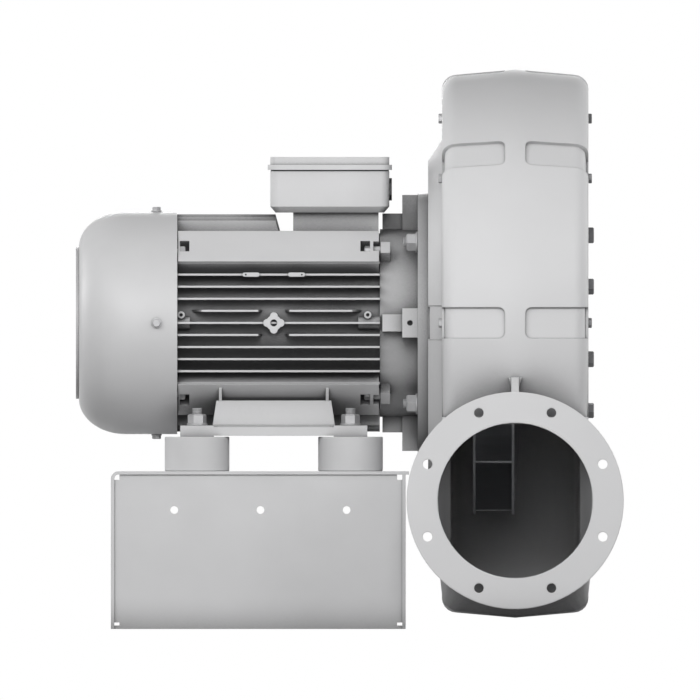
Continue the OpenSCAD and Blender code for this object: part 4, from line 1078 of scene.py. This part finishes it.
@dataclass
class InletGuard:
    """Punched guard over the inlet. Its border's inside radius is in millimetres."""

    border_r: float = 85.0

    def build(self, tree: GrilleTree) -> None:
        """Set the guard in the construction's own place, as thick and wide as there.

        Args:
            tree: The shared grille tree.
        """
        low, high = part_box("inlet_guard")
        guard = Grille("inlet_grille", place=(low.x + high.x) / 2 / MM, bars=6, first=17.75, pitch=11.5,
                       bar=3.5, sheet=(high.x - low.x) / MM, spoke=6.0, spoke_turn=22.5, hub=8.0,
                       rim=(self.border_r, (high.y - low.y) / 2 / MM)).build(tree, GUARD)
        settle(guard, Body.FRAME, Slot.GUARD, ("inlet_guard",))


@dataclass
class Casting:
    """A construction node carried over with one smooth surface between its sharp edges.

    Attributes:
        name: The piece's name.
        node: The construction node.
        slot: The record's material slot.
        finish: Its finish.
        angle: Edges flatter than this, in degrees, shade smoothly.
        body: The body that it rides on.
    """

    name: str
    node: str
    slot: Slot
    finish: Finish
    angle: float = 27.0
    body: Body = Body.FRAME

    def build(self) -> None:
        """Merge a copy of the node's mesh and shade it as one cast surface."""
        mesh = bmesh.new()
        mesh.from_mesh(bpy.data.objects[self.node].data)
        bmesh.ops.remove_doubles(mesh, verts=mesh.verts, dist=WELD)
        piece = mesh_object(self.name, mesh, smooth=False)
        piece.data.shade_smooth()
        piece.data.normals_split_custom_set(self.normals(piece.data))
        settle(piece, self.body, self.slot, (self.node,), self.finish)

    def normals(self, data: Mesh) -> list[Vector]:
        """Average the normals at each corner over the faces that continue the same surface.

        Args:
            data: The merged mesh.

        Returns:
            One normal for each face corner, weighed by the size of the faces.
        """
        limit = math.cos(math.radians(self.angle))
        round_it: dict[tuple, list[tuple[Vector, float]]] = {}
        places = [tuple(round(c * PLACES_PER_METRE) for c in vert.co) for vert in data.vertices]
        for face in data.polygons:
            for index in face.vertices:
                round_it.setdefault(places[index], []).append((face.normal.copy(), face.area))
        out = []
        for face in data.polygons:
            own = face.normal
            for index in face.vertices:
                total = Vector()
                for normal, area in round_it[places[index]]:
                    if own.dot(normal) > limit:
                        total += normal * area
                out.append(total.normalized() if total.length > 0 else own.copy())
        return out


CASTINGS = (
    Casting("scroll", "scroll_casing", Slot.CASTING, SCROLL_PAINT),
    Casting("motor_side_disc", "motor_side_cover", Slot.CASTING, CASTING_PAINT),
    Casting("inlet_side_disc", "inlet_cover", Slot.CASTING, CASTING_PAINT),
    Casting("inlet_bell", "inlet_nozzle", Slot.ALUMINIUM, SPUN),
    Casting("flanged_end_shield", "drive_end_shield", Slot.CASTING, CASTING_PAINT),
    Casting("rear_end_shield", "fan_end_shield", Slot.CASTING, CASTING_PAINT),
    Casting("finned_housing", "motor_frame", Slot.CASTING, CASTING_PAINT),
    Casting("cast_feet", "motor_feet", Slot.CASTING, CASTING_PAINT),
    Casting("terminal_housing", "terminal_box", Slot.CASTING, CASTING_PAINT),
    Casting("terminal_cover", "terminal_lid", Slot.CASTING, CASTING_PAINT),
    Casting("spun_back_disc", "impeller_back_disc", Slot.ALUMINIUM, SPUN, body=Body.ROTOR),
    Casting("spun_shroud", "impeller_shroud", Slot.ALUMINIUM, SPUN, body=Body.ROTOR),
)


@dataclass(frozen=True)
class Lamp:
    """A soft square lamp that looks at the middle of the picture.

    Attributes:
        name: Its name.
        azimuth: Degrees from the camera's side towards -X.
        elevation: Degrees above the level.
        size: Side of the lamp in metres.
        power: Watts.
        away: Distance from what it looks at, in metres.
    """

    name: str
    azimuth: float
    elevation: float
    size: float
    power: float
    away: float

    def build(self, target: Vector) -> None:
        """Hang the lamp.

        Args:
            target: The point that it looks at.
        """
        light = bpy.data.lights.new(self.name, "AREA")
        light.size, light.energy = self.size, self.power
        lamp = scene_object(self.name, light)
        a, e = math.radians(self.azimuth), math.radians(self.elevation)
        way = Vector((-math.sin(a) * math.cos(e), -math.cos(a) * math.cos(e), math.sin(e)))
        lamp.location = target + way * self.away
        lamp.rotation_euler = way.to_track_quat("Z", "Y").to_euler()


# Four lamps light the side that the camera sees, and three keep the other sides as light
LAMPS = (
    Lamp("key", azimuth=0, elevation=20, size=0.8, power=25, away=2.6),
    Lamp("left", azimuth=38, elevation=26, size=0.8, power=8.5, away=1.8),
    Lamp("right", azimuth=-40, elevation=24, size=0.8, power=9, away=2.6),
    Lamp("front", azimuth=0, elevation=4, size=0.8, power=10, away=3.5),
    Lamp("fan_side", azimuth=112, elevation=13, size=1.0, power=26, away=2.8),
    Lamp("inlet_side", azimuth=-112, elevation=13, size=1.0, power=30, away=2.8),
    Lamp("back", azimuth=180, elevation=13, size=1.0, power=38, away=2.8),
)


@dataclass
class Studio:
    """Camera square to the side, soft lamps, pale floor and white surroundings. Sizes in metres.

    Attributes:
        width: What the picture takes in from side to side.
        centre: Middle of the picture, along the shaft and above the floor.
        away: Distance of the camera from the shaft line.
        sight: How far the camera sees.
        floor_half: Half the side of the floor.
        floor_tone: The floor's own colour, which throws little light up onto the blower.
        floor_glow: White that only the eye sees, so that the floor looks pale and keeps the shadow.
        ambient: Strength of the even light from all round.
    """

    width: float = 0.812
    centre: tuple[float, float] = (0.1064, 0.3236)
    away: float = 3.0
    sight: float = 30.0
    floor_half: float = 6.0
    floor_tone: str = "#7e7e7e"
    floor_glow: float = 0.9
    ambient: float = 0.07

    def camera(self) -> None:
        """Set the square-on camera of the photograph."""
        lens = bpy.data.cameras.new("side_view")
        lens.type = "ORTHO"
        lens.ortho_scale = self.width
        lens.clip_end = self.sight
        view = scene_object("side_view", lens)
        view.location = (self.centre[0], -self.away, self.centre[1])
        view.rotation_euler = (math.pi / 2, 0.0, 0.0)
        bpy.context.scene.camera = view

    def floor(self) -> None:
        """Lay a pale floor that keeps the shadow and reads white to the camera."""
        mesh = bmesh.new()
        bmesh.ops.create_grid(mesh, x_segments=1, y_segments=1, size=self.floor_half)
        ground = mesh_object("floor", mesh, smooth=False)
        made = bpy.data.materials.new("pale_studio_floor")
        made.use_nodes = True
        tree = made.node_tree
        tree.nodes.clear()
        matt = add(tree, "ShaderNodeBsdfDiffuse", {"Color": linear(self.floor_tone)})
        glow = add(tree, "ShaderNodeEmission", {"Color": WHITE, "Strength": self.floor_glow})
        both = add(tree, "ShaderNodeAddShader", {0: matt, 1: glow})
        mix = add(tree, "ShaderNodeMixShader", {0: seen_rays(tree), 1: matt, 2: both})
        add(tree, "ShaderNodeOutputMaterial", {"Surface": mix})
        ground.data.materials.append(made)

    def world(self) -> None:
        """Surround the object with white for the eye and a dim even light for the surfaces."""
        world = bpy.data.worlds.new("white_studio")
        world.use_nodes = True
        bpy.context.scene.world = world
        tree = world.node_tree
        tree.nodes.clear()
        dim = add(tree, "ShaderNodeBackground", {"Color": WHITE, "Strength": self.ambient})
        white = add(tree, "ShaderNodeBackground", {"Color": WHITE, "Strength": 1.0})
        mix = add(tree, "ShaderNodeMixShader", {0: seen_rays(tree), 1: dim, 2: white})
        add(tree, "ShaderNodeOutputWorld", {"Surface": mix})

    def build(self) -> None:
        """Set the camera, the lamps, the floor and the surroundings."""
        bpy.context.scene.view_settings.view_transform = "Standard"
        self.camera()
        for lamp in LAMPS:
            lamp.build(Vector((self.centre[0], 0.0, self.centre[1])))
        self.world()
        self.floor()


def seen_rays(tree: NodeTree) -> Node:
    """Tell camera, glossy and transmission rays from the others.

    Args:
        tree: The tree of a material or of the world.

    Returns:
        The node that gives 1 for those rays.
    """
    rays = add(tree, "ShaderNodeLightPath").outputs
    gloss = add(tree, "ShaderNodeMath", {0: rays["Is Glossy Ray"], 1: rays["Is Transmission Ray"]},
                operation="MAXIMUM")
    return add(tree, "ShaderNodeMath", {0: rays["Is Camera Ray"], 1: gloss}, operation="MAXIMUM")


def dress_construction(frame: dict) -> None:
    """Give every construction node the finish of its slot.
    """
    for part in frame["record"]["subparts"]:
        data = frame["nodes"][part["node"]].data
        data.materials.clear()
        data.materials.append(FINISH_OF[Slot(part["material_slot"])].material())


def main() -> None:
    """Build the blower's looks in order."""
    logging.basicConfig(level=logging.INFO, format="%(message)s")
    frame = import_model()
    Studio().build()
    dress_construction(frame)
    fasteners = FastenerTree()
    for kind in FASTENERS:
        kind.build(fasteners)
    BufferSet().build()
    grilles = GrilleTree()
    FanCowl().build(grilles)
    InletGuard().build(grilles)
    for casting in CASTINGS:
        casting.build()


if __name__ == "__main__":
    main()
